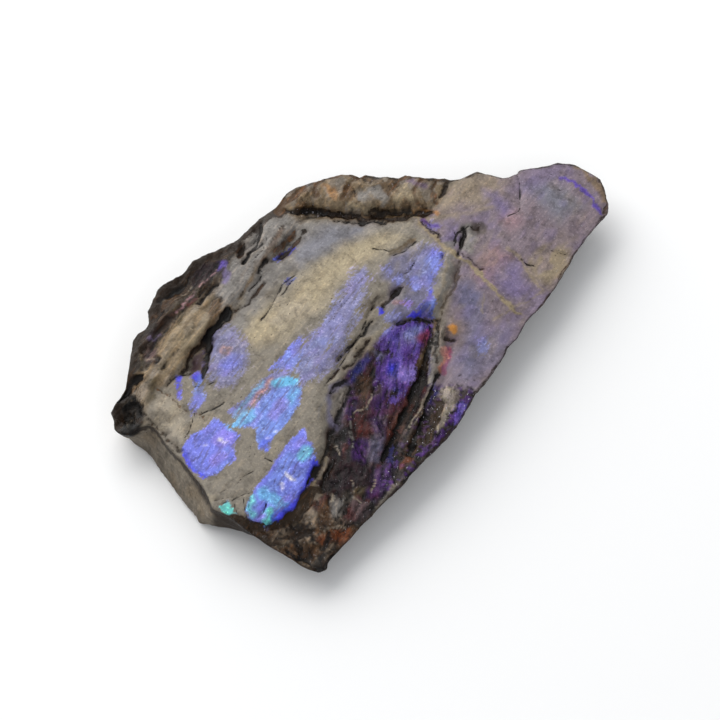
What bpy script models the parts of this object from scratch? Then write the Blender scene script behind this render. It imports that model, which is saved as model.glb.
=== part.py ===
"""A rough piece of ammolite, about 64 mm long: a slab broken from the nacreous shell of a fossil
ammonite, with the shale that it lay in still on its back. It grew and broke as one piece, so it is
one solid. It lies flat on a cleavage plane of the shale, and its front and right edges overhang.

Plan places are (x, y) and heights are z, in millimetres: x along the stone's length, y towards its
back edge, z up from the plane it lies on. The finished stone is centred on the origin in plan.
"""

import bmesh
import bpy
import numpy as np
from mathutils import Vector, noise
from mathutils.geometry import delaunay_2d_cdt

MM = 0.001

# Pitch of the mesh: over the top, along its steps and furrows, round the rim and under the stone
TOP_PITCH = 0.85
LINE_PITCH = 0.62
RIM_PITCH = 0.85
UNDER_PITCH = 2.6
CLEARANCE = 0.52

# The broken rim of the nacre, anticlockwise from the front tip
RIM = [
    (-16.7, -20.9), (-15.0, -20.1), (-12.3, -19.1), (-9.9, -18.3), (-7.4, -17.4), (-4.5, -16.6),
    (-3.0, -15.9), (-1.5, -15.4), (0.0, -14.7), (2.9, -13.8), (5.2, -12.7), (6.4, -11.9),
    (8.7, -10.4), (10.9, -9.5), (13.7, -7.9), (14.9, -7.0), (16.4, -6.5), (18.6, -4.9),
    (21.4, -3.9), (24.0, -2.5), (26.9, -0.7), (28.0, 0.2), (30.7, 1.6), (33.4, 2.9),
    (34.7, 3.5), (35.4, 4.5), (36.2, 6.8), (36.4, 7.9), (35.3, 10.1), (34.9, 11.0),
    (33.2, 12.1), (31.9, 12.2), (28.7, 13.1), (28.1, 12.8), (27.0, 12.8), (26.4, 13.0),
    (24.9, 14.4), (24.2, 15.2), (21.9, 15.1), (20.8, 15.5), (20.4, 16.0), (18.8, 16.8),
    (17.1, 17.9), (16.7, 18.5), (15.7, 18.5), (14.0, 19.6), (12.8, 21.0), (12.1, 21.0),
    (11.3, 21.6), (9.8, 22.2), (7.4, 22.6), (4.6, 22.9), (3.4, 22.7), (1.4, 21.6),
    (-1.0, 21.2), (-3.1, 20.2), (-4.2, 19.7), (-7.5, 19.6), (-9.0, 19.8), (-10.4, 19.7),
    (-12.2, 18.7), (-14.5, 18.6), (-15.4, 18.3), (-17.7, 16.3), (-18.3, 14.9), (-19.0, 14.4),
    (-20.0, 14.4), (-20.8, 14.0), (-22.6, 11.3), (-24.2, 9.3), (-26.0, 8.2), (-27.0, 7.6),
    (-27.1, 6.6), (-27.6, 5.4), (-27.3, 4.3), (-26.5, 3.6), (-25.5, 3.8), (-24.3, 3.5),
    (-23.8, 2.3), (-23.9, 0.4), (-23.7, -1.1), (-23.3, -2.4), (-23.2, -4.3), (-23.0, -7.0),
    (-23.4, -9.4), (-22.5, -10.7), (-21.8, -12.2), (-20.7, -14.6), (-19.5, -17.2), (-18.4, -19.2),
    (-17.4, -20.5),
]

# The edge of the shale where it meets the plane it lies on, anticlockwise from the left corner, each
# place with the place on the rim that the wall above it runs up to
FOOT = [
    ((-24.4, -7.8), (-23.4, -9.4)), ((-23.0, -9.2), (-22.3, -11.1)), ((-20.0, -11.0), (-20.5, -14.9)),
    ((-15.0, -13.2), (-16.9, -20.7)),
    ((-7.0, -12.4), (-7.4, -17.4)), ((0.0, -9.6), (1.5, -14.2)), ((8.0, -5.4), (10.9, -9.5)),
    ((16.0, -1.2), (20.0, -4.4)), ((24.0, 3.2), (28.0, 0.2)), ((30.0, 5.6), (34.7, 3.5)),
    ((31.8, 8.2), (36.4, 7.9)), ((28.0, 10.8), (33.2, 12.1)), ((22.0, 13.0), (24.9, 14.4)),
    ((15.0, 17.0), (17.1, 17.9)), ((8.0, 20.8), (8.6, 22.4)), ((2.0, 20.4), (1.4, 21.6)),
    ((-6.0, 18.2), (-6.0, 19.7)), ((-14.0, 17.0), (-14.5, 18.6)), ((-19.0, 13.4), (-20.0, 14.4)),
    ((-23.0, 9.6), (-24.2, 9.3)), ((-25.2, 8.0), (-27.1, 6.6)), ((-25.7, 5.8), (-26.5, 3.6)),
    ((-25.2, 3.3), (-24.3, 3.5)), ((-24.8, -0.4), (-23.9, 0.0)), ((-24.7, -4.3), (-23.2, -4.3)),
]

# Heights of the top at places that fix its large form: (x, y, z)
HEIGHTS = [
    (-27.3, 5.5, 4.0), (-26.0, 8.2, 4.3), (-24.2, 9.3, 4.9), (-22.6, 11.3, 5.3), (-19.5, 14.4, 5.6),
    (-17.5, 16.3, 5.9), (-14.0, 18.6, 6.2), (-9.0, 19.8, 6.4), (-4.2, 19.7, 6.3), (1.0, 21.4, 6.2),
    (5.0, 22.8, 6.3), (10.0, 22.1, 6.3), (13.0, 20.9, 6.2), (17.0, 18.0, 6.1), (20.6, 15.7, 5.8),
    (24.2, 15.1, 5.5), (28.4, 13.0, 5.3), (33.2, 12.1, 4.9), (36.3, 7.8, 4.4), (34.0, 3.2, 4.3),
    (27.5, -0.2, 4.4), (21.4, -3.9, 4.5), (14.9, -7.0, 4.5), (8.7, -10.4, 4.4), (2.9, -13.8, 4.2),
    (-3.0, -15.9, 4.1), (-9.9, -18.3, 3.6), (-16.5, -20.8, 3.0), (-18.8, -17.5, 3.4),
    (-21.2, -13.4, 4.3), (-23.4, -9.4, 5.0), (-23.2, -4.3, 5.0), (-23.9, 0.4, 5.0), (-24.2, 4.0, 4.9),
    (-20.0, -4.0, 5.6), (-20.5, 3.0, 5.5), (-18.0, -10.0, 5.4), (-15.0, -5.0, 6.0), (-14.0, 1.0, 6.2),
    (-9.0, 4.0, 6.5), (-4.0, 7.0, 6.7), (1.0, 10.0, 6.6), (6.0, 12.0, 6.3), (11.0, 11.0, 6.1),
    (4.0, 5.0, 6.6), (-2.0, 0.5, 6.5), (-6.0, -2.5, 6.3), (-9.5, -6.0, 6.0), (-12.0, -9.0, 5.8),
    (9.0, 5.0, 6.2), (13.0, 5.0, 6.0), (-19.0, 10.5, 6.2), (-12.0, 13.5, 6.4), (-6.0, 16.0, 6.5),
    (0.0, 19.0, 6.4), (-11.0, 17.2, 5.8), (3.0, -2.0, 5.4), (-1.0, -5.5, 5.0), (-6.0, -9.0, 4.9),
    (-9.0, -13.0, 4.7), (5.0, -5.5, 4.5), (0.0, -10.0, 4.3), (-5.0, -13.8, 4.1), (10.0, -4.0, 4.9),
    (7.0, -8.0, 4.7), (14.0, 0.0, 5.4), (19.0, 2.0, 5.4), (24.0, 5.0, 5.3), (29.0, 6.5, 5.1),
    (20.0, 9.0, 5.7), (27.0, 10.0, 5.3), (13.0, 14.5, 5.8), (-15.0, -16.0, 4.1),
]

# Steps in the top: (drop, half-width of the step, reach of the step to each side, places). Walking
# along the places, the low ground is on the right-hand side.
STEPS = [
    # The layers of shell behind the bright face, cut off one above the other
    (0.75, 0.35, 2.6, [(-20.3, 6.8), (-17.5, 8.2), (-14.5, 9.9), (-10.5, 11.7), (-5.2, 13.9), (-3.0, 15.7),
                       (-1.0, 16.3), (2.5, 18.4)]),
    (0.70, 0.35, 2.0, [(-5.6, 19.2), (-8.0, 17.6), (-11.5, 16.4), (-15.5, 15.2), (-18.2, 14.2)]),
    (0.35, 0.30, 1.4, [(-14.6, 13.4), (-17.2, 12.2), (-20.2, 9.7), (-22.2, 8.6)]),
    # The lip of shell along the back edge
    (1.00, 0.40, 2.6, [(2.6, 19.6), (4.6, 20.4), (6.6, 19.0), (8.4, 17.6), (10.4, 16.6), (13.6, 15.5),
                       (15.7, 14.2), (17.8, 13.4)]),
    (0.35, 0.30, 1.3, [(5.2, 22.0), (7.4, 21.0), (9.6, 20.4), (11.6, 19.2), (14.2, 18.0), (16.6, 16.6)]),
    # Above the black knob at the left end
    (1.50, 0.35, 2.6, [(-22.4, 9.6), (-23.1, 7.8), (-23.9, 5.8), (-24.7, 3.4)]),
    # Where the bright face breaks down to the dark hollow
    (0.80, 0.40, 2.8, [(-16.0, -14.3), (-13.5, -12.4), (-11.5, -10.8), (-9.8, -9.0), (-8.3, -7.0),
                       (-6.5, -4.8), (-4.5, -3.0), (-2.0, -1.8)]),
    (0.35, 0.25, 1.6, [(-6.2, -1.9), (-4.0, -0.6), (-2.0, 0.5), (2.0, 2.2), (3.2, 3.4), (4.2, 4.7)]),
    (0.60, 0.25, 1.4, [(5.4, 1.9), (7.0, 1.3), (8.2, 0.5), (9.3, -0.5)]),
    # The broken front of the nacre, over the brown crust
    (0.85, 0.30, 2.2, [(-22.4, -11.4), (-21.0, -12.5), (-19.5, -13.7), (-17.5, -14.5), (-15.6, -14.0)]),
    # Low breaks in the right-hand plate
    (0.30, 0.20, 1.5, [(28.2, 12.8), (27.9, 11.2), (26.6, 8.9), (24.9, 7.8), (23.3, 8.1)]),
    (0.35, 0.20, 1.4, [(33.5, 2.8), (33.7, 5.0), (33.4, 7.0), (32.8, 9.0)]),
    (0.35, 0.25, 1.6, [(16.2, 6.0), (16.6, 8.2), (16.2, 10.6), (14.8, 12.6)]),
]

# Furrows and cracks: (depth, half-width, places)
FURROWS = [
    (0.80, 0.45, [(2.8, 18.7), (4.5, 19.3), (6.5, 18.3), (8.2, 16.9), (10.0, 15.9), (12.0, 15.6),
                  (13.5, 14.9), (15.5, 13.6), (17.5, 12.9)]),
    (0.55, 0.55, [(-19.4, 6.8), (-17.0, 7.4), (-15.2, 8.6), (-12.5, 10.3)]),
    (0.35, 0.35, [(-17.2, 5.6), (-15.7, 7.0), (-14.5, 8.5), (-12.7, 9.7)]),
    (0.55, 0.60, [(-2.4, 15.2), (-0.7, 16.0), (0.6, 16.8), (2.0, 17.8)]),
    (0.55, 0.50, [(-20.6, 11.2), (-19.0, 12.0), (-17.0, 13.0), (-14.4, 14.2)]),
    (0.30, 0.35, [(-12.5, 12.2), (-11.3, 13.2), (-10.0, 14.0)]),
    (0.35, 0.35, [(-12.3, 14.4), (-11.0, 15.0), (-9.7, 15.7)]),
    (0.40, 0.35, [(-23.6, 6.3), (-22.2, 8.0), (-20.6, 8.6), (-19.2, 8.5)]),
    (0.45, 0.35, [(-5.3, 17.2), (-4.8, 18.0), (-3.0, 18.5), (-2.0, 19.7), (-1.2, 20.8)]),
    (0.35, 0.30, [(-5.5, 10.1), (-4.4, 10.9), (-3.0, 12.1), (-1.8, 12.5), (-0.2, 12.9)]),
    (0.45, 0.35, [(-6.0, -1.8), (-4.0, -0.6), (-2.0, 0.5), (0.0, 1.4), (2.0, 2.2), (3.2, 3.4), (4.2, 4.6)]),
    (0.30, 0.30, [(-4.3, -0.9), (-2.4, -0.2), (-0.4, 0.2), (1.7, 1.2)]),
    (0.45, 0.35, [(4.6, 3.7), (5.6, 4.5), (7.0, 4.9), (8.4, 5.5)]),
    (0.30, 0.30, [(10.1, 9.4), (11.4, 9.4), (12.8, 9.8)]),
    (0.70, 0.60, [(9.3, -0.8), (8.0, -2.1), (6.6, -3.5), (5.2, -5.3), (3.6, -7.1), (1.8, -8.5),
                  (-0.4, -10.0), (-2.4, -11.7), (-4.5, -13.4)]),
    (0.45, 0.45, [(10.2, -3.0), (8.0, -5.0), (6.6, -6.8), (5.2, -7.7), (4.0, -9.1), (2.6, -10.3),
                  (1.2, -11.8)]),
    (0.35, 0.35, [(15.3, 4.9), (14.0, 3.4), (12.0, 1.9), (10.4, 0.5), (9.4, -0.6)]),
    (0.30, 0.30, [(16.1, 6.2), (17.0, 6.9), (17.7, 7.9), (18.6, 8.9)]),
    (0.30, 0.25, [(24.4, 2.2), (25.6, 1.6), (26.4, 0.8), (27.4, 0.0)]),
    (0.30, 0.40, [(21.9, 3.6), (22.2, 2.2), (22.8, 0.8), (23.4, -0.2)]),
    (0.45, 0.45, [(-7.5, -7.0), (-8.6, -9.0), (-10.0, -11.0), (-12.0, -13.0)]),
    (0.40, 0.50, [(-3.0, -4.0), (-4.6, -6.4), (-5.8, -9.0), (-6.4, -12.0)]),
    (0.35, 0.40, [(-9.4, -14.2), (-10.6, -15.6), (-12.0, -16.6), (-13.4, -18.4)]),
]

# Ribs that stand up: (height, half-width, places)
RIBS = [
    (0.50, 0.75, [(15.6, 7.2), (14.2, 5.0), (12.2, 3.1), (10.4, 1.3), (9.2, 0.1)]),
    (0.25, 0.30, [(15.9, 6.6), (16.4, 4.5), (16.9, 2.0), (17.2, 0.0), (17.5, -2.2), (17.6, -4.3)]),
    (0.45, 0.55, [(9.8, -1.6), (8.2, -3.2), (6.8, -4.8), (5.5, -6.4), (4.0, -8.0), (2.2, -9.5),
                  (0.4, -11.0)]),
    (0.40, 0.70, [(1.5, -12.6), (3.6, -11.0), (5.4, -9.9), (7.0, -9.0)]),
    (0.35, 0.60, [(-5.2, -6.8), (-6.6, -9.2), (-7.4, -12.0), (-7.0, -15.0)]),
    (0.35, 0.70, [(-2.0, -5.0), (-3.0, -8.0), (-3.6, -11.0)]),
    (0.30, 0.60, [(6.0, -1.0), (3.6, -3.2), (1.4, -5.8)]),
    (0.30, 0.55, [(-22.4, 6.6), (-19.6, 9.6), (-16.0, 11.8), (-12.8, 13.2)]),
    (0.35, 0.60, [(-10.6, -17.4), (-12.8, -16.6), (-15.0, -17.6)]),
    (0.30, 0.50, [(3.6, 21.4), (5.4, 21.2), (7.4, 20.2), (9.2, 18.8)]),
]

# Pits, and lumps where the depth is below nothing: (x, y, radius, depth)
PITS = [
    (4.6, 20.0, 1.2, 0.60), (-25.4, 6.5, 0.85, 1.00), (20.0, 8.0, 0.9, 0.45), (-16.6, 7.6, 0.8, 0.35),
    (-26.0, 4.9, 1.0, -0.45), (-26.2, 7.6, 0.8, -0.30), (-13.2, 7.6, 1.0, -0.20), (10.3, -2.2, 0.7, -0.35),
    (12.2, 20.4, 0.8, 0.45), (16.0, 18.0, 0.8, 0.40), (19.0, 14.6, 0.9, 0.35), (-17.0, -18.2, 0.9, 0.50),
    (-13.6, -15.2, 0.9, -0.35),
]

# The brown crust at the front tip and the chipped banks, which are lumpy: (x, y, radius, lump height)
LUMPY = [
    (-17.0, -17.0, 5.0, 0.55), (-12.0, -17.0, 4.0, 0.40), (-12.0, 18.0, 5.0, 0.40), (10.0, 20.5, 7.0, 0.35),
    (2.0, -12.5, 4.0, 0.35), (-3.0, -13.0, 4.0, 0.35), (-26.0, 6.0, 2.5, 0.35),
]

# The size of the lumps, the long waves in the top, and how far steps and furrows wander
LUMP_SIZE = 1.9
WAVE_SIZE = 6.0
WAVE_HEIGHT = 0.18
WANDER = 0.35
WANDER_SIZE = 2.2

# How the ends of a step, furrow or rib run out, as a share of its length, and how deep they stay
END_FADE = 0.12
FURROW_END = 0.35
# How far the plate may miss the given heights, to stay smooth
PLATE_GIVE = 2.0

# The walls: how far down each ring of the wall lies, as a share of the rim's height, and how far
# out it stands, bed by bed. The broken face at the left end is smoother than the rest.
WALL_RINGS = ((0.10, 0.05), (0.26, -0.30), (0.42, 0.25), (0.58, -0.15), (0.76, 0.30), (1.0, 0.0))
WALL_BELLY = 1.25
WALL_RELIEF = 0.35
WALL_LUMP = 3.2
SMOOTH_LEFT_OF = -22.8
ROUGH_RIGHT_OF = -18.5
SMOOTH_SHARE = 0.2

# Under the stone, thin beds of shale have come away round the plane that it lies on: each bed's
# thickness, and how far out its edge runs, as a share of the flat's half-widths
BEDS_GONE = ((0.45, 1.0), (0.36, 1.42))
BED_EDGE = 0.25
BED_LUMP = 5.0
FLAT_CENTRE = (-6.0, 4.5)
FLAT_HALF = (21.0, 12.5)

# The dark shell and the shale
SHELL_COLOUR = (0.10, 0.085, 0.10, 1.0)
SHELL_ROUGHNESS = 0.35
SHARP_ANGLE = 40


def lumps_of(size, seed, x, y):
    """Smooth noise from about -1 to 1, with lumps of that size."""
    return noise.noise(Vector((x / size, y / size, seed)))


def roughened(path):
    """The path with a point at every line pitch, each moved a little, as a break runs in rock."""
    path = np.array(path, float)
    lengths = np.linalg.norm(np.diff(path, axis=0), axis=1)
    travelled = np.concatenate([[0.0], np.cumsum(lengths)])
    stops = np.linspace(0.0, travelled[-1], max(2, round(travelled[-1] / LINE_PITCH) + 1))
    points = np.stack([np.interp(stops, travelled, path[:, axis]) for axis in (0, 1)], axis=1)
    shifts = [(lumps_of(WANDER_SIZE, 11.3, x, y), lumps_of(WANDER_SIZE, 47.9, x, y)) for x, y in points]
    return points + WANDER * np.array(shifts)


def beside(path, points):
    """For each point: its distance from the path, which side it is on (1 right, -1 left), and a
    share that is 1 along the path and falls to 0 at its two ends."""
    path = np.array(path, float)
    starts, steps = path[:-1], np.diff(path, axis=0)
    lengths = np.linalg.norm(steps, axis=1)
    travelled = np.concatenate([[0.0], np.cumsum(lengths)])
    to_point = points[:, None, :] - starts[None, :, :]
    share = np.clip((to_point * steps).sum(-1) / lengths**2, 0.0, 1.0)
    distance = np.linalg.norm(to_point - share[..., None] * steps, axis=-1)
    turn = (steps[:, 0] * to_point[..., 1] - steps[:, 1] * to_point[..., 0]) / lengths
    # Where two stretches are equally near, the one that the point lies more squarely beside counts
    nearest = np.argmin(distance - 1e-4 * np.abs(turn), axis=1)
    row = np.arange(len(points))
    where = travelled[nearest] + share[row, nearest] * lengths[nearest]
    to_end = np.minimum(where, travelled[-1] - where) / travelled[-1]
    side = np.where(turn[row, nearest] < 0, 1.0, -1.0)
    return distance[row, nearest], side, np.clip(to_end / END_FADE, 0.0, 1.0)


def plate_through(heights):
    """A smooth plate near the given heights: a function from places to heights."""
    known = np.array(heights, float)
    places, z = known[:, :2], known[:, 2]
    count = len(places)

    def bend(gap):
        square = (gap**2).sum(-1)
        return square * np.log(square + 1e-9)

    rows = np.zeros((count + 3, count + 3))
    rows[:count, :count] = bend(places[:, None] - places[None]) + PLATE_GIVE * np.eye(count)
    rows[:count, count] = rows[count, :count] = 1.0
    rows[:count, count + 1:] = places
    rows[count + 1:, :count] = places.T
    weights = np.linalg.solve(rows, np.concatenate([z, np.zeros(3)]))
    tilt = weights[count + 1:]
    return lambda points: (
        bend(points[:, None] - places[None]) @ weights[:count] + weights[count] + points @ tilt
    )


def bumps(points):
    """How far the small lumps and the long waves lift the top over each place."""
    lumps = np.array([
        lumps_of(LUMP_SIZE, 5.5, x, y) + 0.5 * lumps_of(LUMP_SIZE / 2, 8.1, x, y) for x, y in points
    ])
    lift = WAVE_HEIGHT * np.array([lumps_of(WAVE_SIZE, 3.7, x, y) for x, y in points])
    for x, y, radius, height in LUMPY:
        lift += height * lumps * np.exp(-(((points - (x, y)) ** 2).sum(-1) / radius**2))
    return lift


def top_height(points):
    """Height of the top of the stone over each place."""
    z = plate_through(HEIGHTS)(points) + bumps(points)
    for drop, half, reach, path in STEPS:
        distance, side, inner = beside(roughened(path), points)
        z -= 0.5 * drop * np.tanh(side * distance / half) * np.exp(-((distance / reach) ** 2)) * inner
    for depth, half, path in FURROWS:
        distance, _, inner = beside(roughened(path), points)
        z -= depth * np.exp(-((distance / half) ** 2)) * (FURROW_END + (1 - FURROW_END) * inner)
    for height, half, path in RIBS:
        distance, _, inner = beside(roughened(path), points)
        z += height * np.exp(-((distance / half) ** 2)) * inner
    for x, y, radius, depth in PITS:
        z -= depth * np.exp(-(((points - (x, y)) ** 2).sum(-1) / radius**2))
    return z


def under_height(points):
    """Height of the underside: level where the stone lies, a bed or two higher round that."""
    x, y = points.T
    out = np.hypot((x - FLAT_CENTRE[0]) / FLAT_HALF[0], (y - FLAT_CENTRE[1]) / FLAT_HALF[1])
    out += BED_EDGE * np.array([lumps_of(BED_LUMP, 21.0, *point) for point in points])
    return sum(thickness * (out > edge) for thickness, edge in BEDS_GONE)


def evenly(path, pitch):
    """A closed path's points at about that pitch, with its own corners kept."""
    points = []
    for start, end in zip(path, path[1:] + path[:1]):
        start, end = np.array(start, float), np.array(end, float)
        count = max(1, round(np.linalg.norm(end - start) / pitch))
        points += [start + (end - start) * i / count for i in range(count)]
    return np.array(points)


def inside(path, points):
    """Which points lie inside the closed path, and how far each is from it."""
    closed = np.vstack([path, path[:1]])
    distance = beside(closed, points)[0]
    crossed = np.zeros(len(points), bool)
    for (x0, y0), (x1, y1) in zip(closed[:-1], closed[1:]):
        spans = (y0 > points[:, 1]) != (y1 > points[:, 1])
        if y0 != y1:
            crossed ^= spans & (points[:, 0] < x0 + (points[:, 1] - y0) * (x1 - x0) / (y1 - y0))
    return crossed, distance


def grid_within(rim, pitch):
    """The places of a triangular grid of that pitch over the rim's whole box."""
    low, high = rim.min(axis=0), rim.max(axis=0)
    grid = []
    for number, y in enumerate(np.arange(low[1], high[1], pitch * np.sqrt(0.75))):
        grid += [(x, y) for x in np.arange(low[0] + (number % 2) * pitch / 2, high[0], pitch)]
    return np.array(grid)


def beside_lines():
    """Places in rows along each step, furrow and rib, so that the mesh follows them."""
    lanes = [(half, path, (-1.0, 1.0)) for _, half, _, path in STEPS]
    lanes += [(half, path, (0.0, -1.7, 1.7)) for _, half, path in FURROWS + RIBS]
    rows = []
    for half, path, offsets in lanes:
        line = roughened(path)
        along = np.gradient(line, axis=0)
        across = np.stack([along[:, 1], -along[:, 0]], axis=1)
        across /= np.linalg.norm(across, axis=1)[:, None]
        rows += [line + offset * half * across for offset in offsets]
    return np.vstack(rows)


def thinned(rim, places, clearance):
    """The places inside the rim, each left out where it would crowd the rim or an earlier one."""
    within, distance = inside(rim, places)
    kept = []
    for place in places[within & (distance > clearance)]:
        if not kept or np.min(np.linalg.norm(np.array(kept) - place, axis=1)) > clearance:
            kept.append(place)
    return np.array(kept)


def joined(rim, places):
    """The rim and the places inside it, and the triangles that join them."""
    points = np.vstack([rim, places])
    border = [(i, (i + 1) % len(rim)) for i in range(len(rim))]
    found = delaunay_2d_cdt([Vector(p) for p in points], border, [], 1, 1e-6)
    if len(found[0]) != len(points):
        raise ValueError("the rim crosses itself")
    return points, [list(face) for face in found[2]]


def foot_under(rim):
    """The place on the foot below each rim point, spaced evenly between the places that are given."""
    count = len(rim)
    matches = sorted(
        (int(np.argmin(np.linalg.norm(rim - above, axis=1))), place) for place, above in FOOT
    )
    matches.append((matches[0][0] + count, matches[0][1]))
    places = np.zeros((count, 2))
    for (start, low), (end, high) in zip(matches, matches[1:]):
        for i in range(start, end):
            share = (i - start) / (end - start)
            places[i % count] = np.array(low) + share * (np.array(high) - np.array(low))
    return places


def add_points(mesh, places, heights):
    return [mesh.verts.new((x * MM, y * MM, z * MM)) for (x, y), z in zip(places, heights)]


def add_walls(mesh, top_ring, rim, rim_z, foot, foot_z):
    """Rings of wall from the rim down to the foot. Returns the lowest ring."""
    count = len(rim)
    along = np.roll(rim, -1, axis=0) - np.roll(rim, 1, axis=0)
    outward = np.stack([along[:, 1], -along[:, 0]], axis=1)
    outward /= np.linalg.norm(outward, axis=1)[:, None]
    above = top_ring
    for down, bed in WALL_RINGS:
        places = rim + (foot - rim) * down**WALL_BELLY
        if down < 1.0:
            rough = [noise.noise(Vector((x / WALL_LUMP, y / WALL_LUMP, 4.0 * down))) for x, y in places]
            stand = bed + WALL_RELIEF * np.array(rough)
            stand *= np.interp(places[:, 0], (SMOOTH_LEFT_OF, ROUGH_RIGHT_OF), (SMOOTH_SHARE, 1.0))
            places = places + outward * stand[:, None]
        ring = add_points(mesh, places, rim_z + (foot_z - rim_z) * down)
        for i in range(count):
            j = (i + 1) % count
            mesh.faces.new((above[j], above[i], ring[i], ring[j]))
        above = ring
    return above


def stone_mesh():
    """The closed surface: the top, the walls down to the foot, and the underside."""
    mesh = bmesh.new()
    rim = evenly(RIM, RIM_PITCH)
    spots = np.vstack([beside_lines(), grid_within(rim, TOP_PITCH)])
    places, faces = joined(rim, thinned(rim, spots, CLEARANCE))
    heights = top_height(places)
    top = add_points(mesh, places, heights)
    for face in faces:
        mesh.faces.new([top[i] for i in face])

    foot = foot_under(rim)
    lowest = add_walls(mesh, top[:len(rim)], rim, heights[:len(rim)], foot, under_height(foot))

    spots = thinned(foot, grid_within(foot, UNDER_PITCH), UNDER_PITCH / 2)
    places, faces = joined(foot, spots)
    under = lowest + add_points(mesh, spots, under_height(spots))
    for face in faces:
        mesh.faces.new([under[i] for i in reversed(face)])

    bmesh.ops.triangulate(mesh, faces=mesh.faces[:])
    bmesh.ops.recalc_face_normals(mesh, faces=mesh.faces[:])
    corners = np.array([v.co for v in mesh.verts])
    low, high = corners.min(axis=0), corners.max(axis=0)
    middle = Vector(((low[0] + high[0]) / 2, (low[1] + high[1]) / 2, low[2]))
    bmesh.ops.translate(mesh, vec=-middle, verts=mesh.verts[:])
    made = bpy.data.meshes.new("ammolite")
    mesh.to_mesh(made)
    mesh.free()
    return made


def shell_material():
    made = bpy.data.materials.new("dark_shell_and_shale")
    made.use_nodes = True
    shader = made.node_tree.nodes["Principled BSDF"]
    shader.inputs["Base Color"].default_value = SHELL_COLOUR
    shader.inputs["Roughness"].default_value = SHELL_ROUGHNESS
    shader.inputs["Metallic"].default_value = 0.0
    return made


def main():
    for old in list(bpy.data.objects):
        bpy.data.objects.remove(old, do_unlink=True)
    stone = bpy.data.objects.new("ammolite", stone_mesh())
    stone.data.materials.append(shell_material())
    stone.data.shade_smooth()
    stone.data.set_sharp_from_angle(angle=np.radians(SHARP_ANGLE))
    bpy.context.scene.collection.objects.link(stone)


main()
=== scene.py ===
"""A rough piece of ammolite, as it lies on a white table under a soft light.

Lengths are in millimetres until a mesh is made. A place on the stone is (x, y): where it is seen from
the front, drawn out flat at the level of the bright face.
"""

import math

import bpy
import numpy as np
from mathutils import Matrix, Vector, kdtree, noise


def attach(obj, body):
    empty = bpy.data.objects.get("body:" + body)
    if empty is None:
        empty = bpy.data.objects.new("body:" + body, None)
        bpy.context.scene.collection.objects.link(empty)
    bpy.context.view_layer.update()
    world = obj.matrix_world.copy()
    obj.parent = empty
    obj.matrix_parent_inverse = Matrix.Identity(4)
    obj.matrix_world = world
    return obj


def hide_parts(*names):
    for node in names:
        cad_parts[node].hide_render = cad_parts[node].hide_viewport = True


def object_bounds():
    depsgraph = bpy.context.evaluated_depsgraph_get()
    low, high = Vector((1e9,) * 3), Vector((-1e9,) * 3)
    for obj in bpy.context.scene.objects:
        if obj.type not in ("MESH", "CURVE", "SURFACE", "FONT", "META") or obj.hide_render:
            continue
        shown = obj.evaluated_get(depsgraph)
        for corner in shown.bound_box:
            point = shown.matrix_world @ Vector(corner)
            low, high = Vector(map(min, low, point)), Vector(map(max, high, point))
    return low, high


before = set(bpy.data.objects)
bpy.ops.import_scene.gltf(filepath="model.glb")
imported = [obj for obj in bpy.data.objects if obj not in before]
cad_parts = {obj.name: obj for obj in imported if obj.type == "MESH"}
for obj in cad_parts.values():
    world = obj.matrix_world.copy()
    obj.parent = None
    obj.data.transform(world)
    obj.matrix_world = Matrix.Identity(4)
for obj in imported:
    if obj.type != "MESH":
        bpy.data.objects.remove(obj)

cad_low, cad_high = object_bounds()

# The white table, the camera over the stone's front, and the light: a large soft window behind the
# stone to the left, a weaker card at the front, and a pale room. The stone lies turned in the picture.

MM = 0.001
STONE_TURN = math.radians(30)
CAMERA_HEIGHT = math.radians(55)
CAMERA_DISTANCE = 330
PICTURE_MIDDLE = Vector((-4.4, -1.0, 4.0))
LENS = 150
SENSOR = 36
TABLE_HALF = 3000

away = Vector((math.sin(STONE_TURN), math.cos(STONE_TURN), 0))
rightward = Vector((math.cos(STONE_TURN), -math.sin(STONE_TURN), 0))
to_camera = Vector((0, 0, math.sin(CAMERA_HEIGHT))) - away * math.cos(CAMERA_HEIGHT)
upward = to_camera.cross(rightward)

camera_data = bpy.data.cameras.new("camera")
camera_data.lens = LENS
camera_data.sensor_width = SENSOR
camera_data.clip_start = 0.01
camera = bpy.data.objects.new("camera", camera_data)
camera.matrix_world = Matrix.Translation((PICTURE_MIDDLE + to_camera * CAMERA_DISTANCE) * MM) @ (
    Matrix((rightward, upward, to_camera)).transposed().to_4x4()
)
bpy.context.scene.collection.objects.link(camera)
bpy.context.scene.camera = camera


def soft_light(name, place, size, power, colour):
    """A square light to the right of, behind and above the stone by those lengths, facing it."""
    data = bpy.data.lights.new(name, "AREA")
    data.size = size * MM
    data.energy = power
    data.color = colour
    spot = rightward * place[0] + away * place[1] + Vector((0, 0, place[2]))
    lamp = bpy.data.objects.new(name, data)
    lamp.location = spot * MM
    lamp.rotation_euler = spot.to_track_quat("Z", "Y").to_euler()
    bpy.context.scene.collection.objects.link(lamp)


soft_light("window", (-220, 290, 265), 660, 3.3, (1.0, 0.99, 0.97))
soft_light("front_card", (80, -420, 300), 300, 0.3, (0.97, 0.98, 1.0))

world = bpy.data.worlds.new("room")
world.use_nodes = True
room = world.node_tree.nodes["Background"]
room.inputs["Color"].default_value = (0.95, 0.97, 1.0, 1)
room.inputs["Strength"].default_value = 0.56
bpy.context.scene.world = world
bpy.context.scene.view_settings.view_transform = "Standard"

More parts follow.
